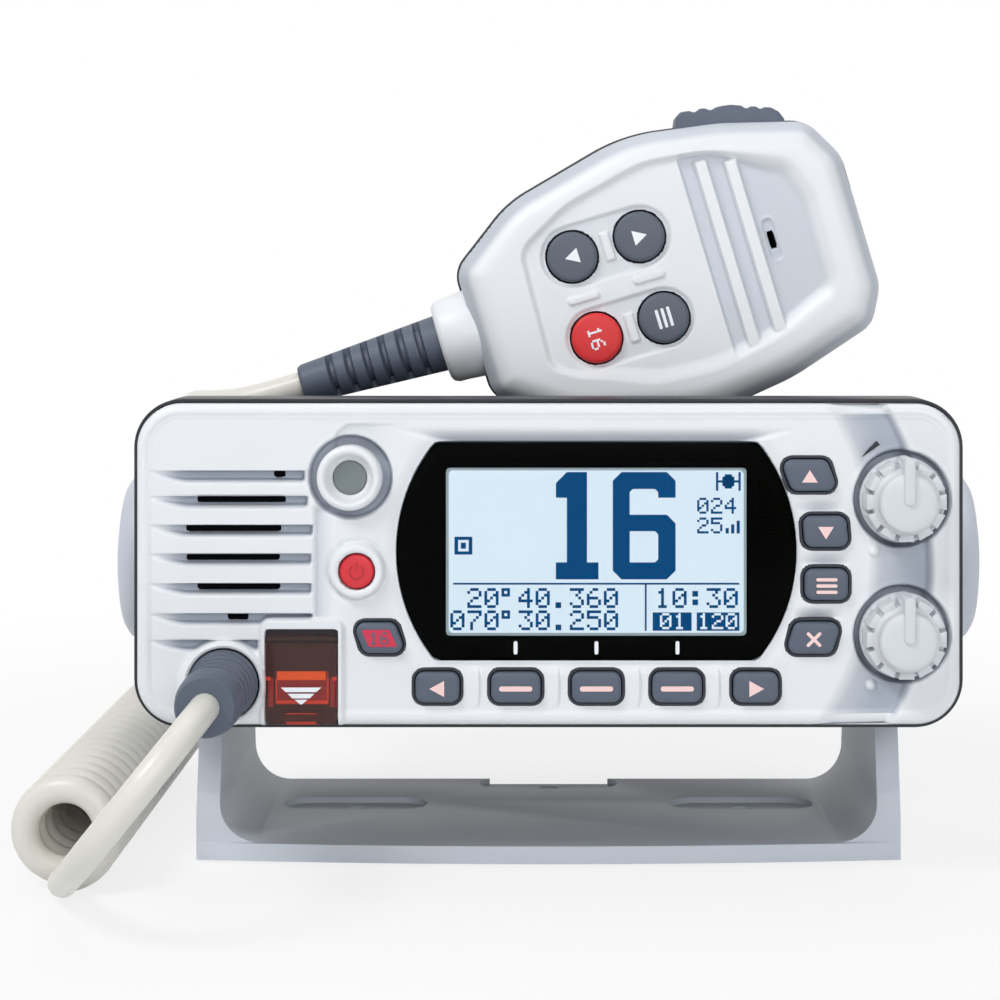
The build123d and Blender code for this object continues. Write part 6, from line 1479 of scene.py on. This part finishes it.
def build_bracket_knobs(finish):
    """Domed hand knobs with a fluted ring."""
    flutes = bpy.context.scene.radio_sizes.knob_flutes
    for side, name in ((-1, "left"), (1, "right")):
        profile = [(8.0, 0.0), (13.6, 0.0), (13.6, 3.2), (17.5, 3.4), (19.6, 3.6), (20.4, 4.4), (20.7, 6.0),
                   (20.7, 12.5),
                   (20.6, 15.0), (20.2, 17.4), (19.2, 19.2), (17.4, 20.4), (14.0, 21.1), (9.0, 21.4),
                   (0.05, 21.5)]
        fine = []
        for (r0, a0), (r1, a1) in zip(profile, profile[1:]):
            steps = max(1, int(math.hypot(r1 - r0, a1 - a0) / 1.0))
            fine += [(r0 + (r1 - r0) * k / steps, a0 + (a1 - a0) * k / steps) for k in range(steps)]
        fine.append(profile[-1])
        sides = flutes * 14
        points = []
        for r, a in fine:
            for i in range(sides):
                angle = 2 * math.pi * i / sides
                wave = max(0.0, math.cos(flutes * angle)) ** 1.5
                cut = 1.9 * wave * max(0.0, min(1.0, (14.6 - a) / 3.0)) * (1 if r > 14 else 0)
                radius = r - cut
                points.append((side * (BRACKET_KNOB_X + a), radius * math.cos(angle),
                               TILT_Z + radius * math.sin(angle)))
        faces = tube_faces(len(fine), sides)
        knob = closed_shape(name + "_knob_body", points, faces, [finish["bracket"]], 45)
        finish_piece(knob, name + "_bracket_knob", [name + "_knob"])


def build_housing(finish):
    """Surround, chassis and every inner piece get their finishes."""
    surround = soft_copy("surround_frame", "panel_surround", finish["dark"], 0.35)
    finish_piece(surround, "radio", ["panel_surround"])
    kept = {
        "panel_screws": "steel", "rear_chassis": "casting", "side_inserts": "brass",
        "bracket_washers": "black_rubber",
        "main_board": "board", "antenna_socket": "plated", "antenna_insulator": "ptfe",
        "rear_glands": "black_rubber",
        "display_mask": "mask", "lcd_module": "lcd_edge", "speaker": "cone", "speaker_screen": "screen",
        "key_mat": "silicone", "front_board": "board", "encoders": "steel", "cover_pin": "casting",
        "distress_key": "red", "mic_board": "board", "mic_capsule": "steel", "mic_hanger_button": "slate",
        "mic_screws": "steel", "volume_shaft": "steel", "squelch_shaft": "steel", "left_knob_stud": "steel",
        "right_knob_stud": "steel",
    }
    for node, kind in kept.items():
        NODES[node].data.materials.clear()
        NODES[node].data.materials.append(finish[kind])


# ---------------------------------------------------------------- stage
def seen_rays(tree):
    """Marks the rays that show a background: straight, mirrored or through glass."""
    path = tree.nodes.new("ShaderNodeLightPath")
    straight = path.outputs["Is Camera Ray"]
    mirrored = calculate(tree, "MAXIMUM", straight, path.outputs["Is Glossy Ray"])
    return calculate(tree, "MAXIMUM", mirrored, path.outputs["Is Transmission Ray"])


def build_stage():
    """Pale floor and backdrop, soft lamps and the camera."""
    scene = bpy.context.scene
    scene.view_settings.view_transform = "Standard"
    material = bpy.data.materials.new("Studio floor")
    material.use_nodes = True
    nodes, links = material.node_tree.nodes, material.node_tree.links
    shader = nodes["Principled BSDF"]
    shader.inputs["Base Color"].default_value = (0.86, 0.87, 0.88, 1)
    shader.inputs["Roughness"].default_value = 0.7
    shader.inputs["Specular IOR Level"].default_value = 0.2
    where = nodes.new("ShaderNodeTexCoord")
    away = nodes.new("ShaderNodeVectorMath")
    away.operation = "LENGTH"
    links.new(where.outputs["Object"], away.inputs[0])
    share = nodes.new("ShaderNodeMapRange")
    share.interpolation_type = "SMOOTHSTEP"
    for socket, value in (("From Min", 0.13), ("From Max", 0.42), ("To Min", 0.8), ("To Max", 1.0)):
        share.inputs[socket].default_value = value
    links.new(away.outputs["Value"], share.inputs["Value"])
    glow = nodes.new("ShaderNodeEmission")
    glow.inputs["Color"].default_value = (1, 1, 1, 1)
    amount = calculate(material.node_tree, "MULTIPLY", seen_rays(material.node_tree), share.outputs["Result"])
    blend = nodes.new("ShaderNodeMixShader")
    links.new(amount, blend.inputs["Fac"])
    links.new(shader.outputs["BSDF"], blend.inputs[1])
    links.new(glow.outputs["Emission"], blend.inputs[2])
    links.new(blend.outputs["Shader"], nodes["Material Output"].inputs["Surface"])
    size = 6.0
    floor = bpy.data.meshes.new("floor")
    points = [(-size, -size, 0), (size, -size, 0), (size, size, 0), (-size, size, 0)]
    floor.from_pydata(points, [], [(0, 1, 2, 3)])
    floor.materials.append(material)
    ground = bpy.data.objects.new("studio_floor", floor)
    scene.collection.objects.link(ground)
    ground.location.z = -0.0006
    world = bpy.data.worlds.new("Studio")
    scene.world = world
    world.use_nodes = True
    nodes, links = world.node_tree.nodes, world.node_tree.links
    soft = nodes["Background"]
    soft.inputs["Color"].default_value = (0.93, 0.96, 1.0, 1)
    soft.inputs["Strength"].default_value = 0.33
    plain = nodes.new("ShaderNodeBackground")
    plain.inputs["Color"].default_value = (1, 1, 1, 1)
    plain.inputs["Strength"].default_value = 1.0
    mix = nodes.new("ShaderNodeMixShader")
    links.new(seen_rays(world.node_tree), mix.inputs["Fac"])
    links.new(soft.outputs["Background"], mix.inputs[1])
    links.new(plain.outputs["Background"], mix.inputs[2])
    links.new(mix.outputs["Shader"], nodes["World Output"].inputs["Surface"])
    lamps = [
        ("key_lamp", (-0.75, -0.7, 1.15), (0.5, 0.35), 9.0, (1.0, 1.0, 1.0)),
        ("front_lamp", (0.3, -1.15, 0.5), (0.9, 0.4), 4.6, (0.98, 0.99, 1.0)),
        ("top_lamp", (0.1, 0.35, 1.3), (1.2, 0.8), 4.0, (1.0, 1.0, 1.0)),
    ]
    for name, at, (width, height), power, colour in lamps:
        light = bpy.data.lights.new(name, "AREA")
        light.shape = "RECTANGLE"
        light.size, light.size_y = width, height
        light.energy = power
        light.color = colour
        lamp = bpy.data.objects.new(name, light)
        lamp.location = at
        lamp.rotation_euler = (Vector((0, -0.02, 0.07)) - Vector(at)).to_track_quat("-Z", "Y").to_euler()
        scene.collection.objects.link(lamp)
    camera = bpy.data.objects.new("Camera", bpy.data.cameras.new("Camera"))
    camera.data.lens = CAMERA_LENS
    camera.data.sensor_width = 36.0
    camera.data.shift_x, camera.data.shift_y = CAMERA_SHIFT
    camera.location = [value * MM for value in CAMERA_AT]
    camera.rotation_euler = (math.pi / 2, 0, 0)
    scene.collection.objects.link(camera)
    scene.camera = camera


# ---------------------------------------------------------------- add-on
class RadioSizes(bpy.types.PropertyGroup):
    """Sizes that a user may change."""

    coil_turns: bpy.props.FloatProperty(name="Coil turns", description="Turns of the curly cord",
                                        default=19.5)
    knob_flutes: bpy.props.IntProperty(name="Knob flutes", description="Flutes round a bracket knob",
                                       default=13)


class RadioColours(bpy.types.PropertyGroup):
    """Colours that a user may change."""

    housing: bpy.props.FloatVectorProperty(name="Housing", description="White housing", subtype="COLOR",
                                           default=linear(234, 236, 239))
    rubber: bpy.props.FloatVectorProperty(name="Rubber", description="Slate keys and boots", subtype="COLOR",
                                          default=linear(84, 92, 108))
    button: bpy.props.FloatVectorProperty(name="Button", description="Red power button", subtype="COLOR",
                                          default=linear(214, 44, 54))
    cord: bpy.props.FloatVectorProperty(name="Cord", description="Warm white cord", subtype="COLOR",
                                        default=linear(226, 223, 214))
    cover: bpy.props.FloatVectorProperty(name="Cover", description="Red see-through cover", subtype="COLOR",
                                         default=(0.9, 0.58, 0.52))


def piece_operator(idname, label, text, build, needs_finish=True):
    """An operator class for one piece."""

    def execute(self, context):
        """Builds the piece."""
        if needs_finish:
            build(finishes())
        else:
            build()
        return {"FINISHED"}

    name = "RADIO_OT_" + idname
    return type(name, (bpy.types.Operator,),
                {"__doc__": text, "bl_idname": "radio." + idname, "bl_label": label,
                                              "execute": execute})


OPERATORS = [
    piece_operator("stage", "Stage", "Makes the floor, the lamps and the camera", build_stage, False),
    piece_operator("cord", "Cord", "Makes the curly microphone cord", build_cord),
    piece_operator("front_panel", "Front panel", "Makes the moulded front panel", build_front_panel),
    piece_operator("display", "Display", "Makes the window and the lit display", build_display),
    piece_operator("panel_keys", "Panel keys", "Makes the ten keys of the panel", build_panel_keys),
    piece_operator("power_button", "Power button", "Makes the red button", build_power_button),
    piece_operator("hanger_stud", "Hanger stud", "Makes the dished stud and its plug", build_hanger_stud),
    piece_operator("panel_knobs", "Panel knobs", "Makes the volume and squelch knobs", build_panel_knobs),
    piece_operator("distress_cover", "Distress cover", "Makes the hinged cover", build_distress_cover),
    piece_operator("boots", "Boots", "Makes both strain reliefs", build_boots),
    piece_operator("mic_front", "Microphone front", "Makes the microphone's front shell", build_mic_front),
    piece_operator("mic_keys", "Microphone keys", "Makes the four keys of the microphone", build_mic_keys),
    piece_operator("mic_rest", "Microphone back", "Makes the microphone's back and its bar", build_mic_rest),
    piece_operator("bracket", "Bracket", "Makes the mounting bracket", build_bracket),
    piece_operator("bracket_knobs", "Bracket knobs", "Makes both hand knobs", build_bracket_knobs),
    piece_operator("housing", "Housing", "Finishes the surround, chassis and inner pieces", build_housing),
]


class RADIO_PT_pieces(bpy.types.Panel):
    """Lists the radio's pieces."""

    bl_label = "VHF Marine Radio"
    bl_idname = "RADIO_PT_pieces"
    bl_space_type = "VIEW_3D"
    bl_region_type = "UI"
    bl_category = "Radio"

    def draw(self, context):
        """Shows a button for each piece."""
        for operator in OPERATORS:
            self.layout.operator(operator.bl_idname)


CLASSES = [RadioSizes, RadioColours, *OPERATORS, RADIO_PT_pieces]


def register():
    """Registers the add-on's classes and settings."""
    for item in CLASSES:
        bpy.utils.register_class(item)
    bpy.types.Scene.radio_sizes = bpy.props.PointerProperty(type=RadioSizes)
    bpy.types.Scene.radio_colours = bpy.props.PointerProperty(type=RadioColours)


def unregister():
    """Takes the add-on's classes and settings away again."""
    del bpy.types.Scene.radio_colours
    del bpy.types.Scene.radio_sizes
    for item in reversed(CLASSES):
        bpy.utils.unregister_class(item)


def main():
    """Builds every piece and writes the sizes down."""
    register()
    for operator in OPERATORS:
        getattr(bpy.ops.radio, operator.bl_idname.split(".")[1])()


if __name__ == "__main__":
    main()
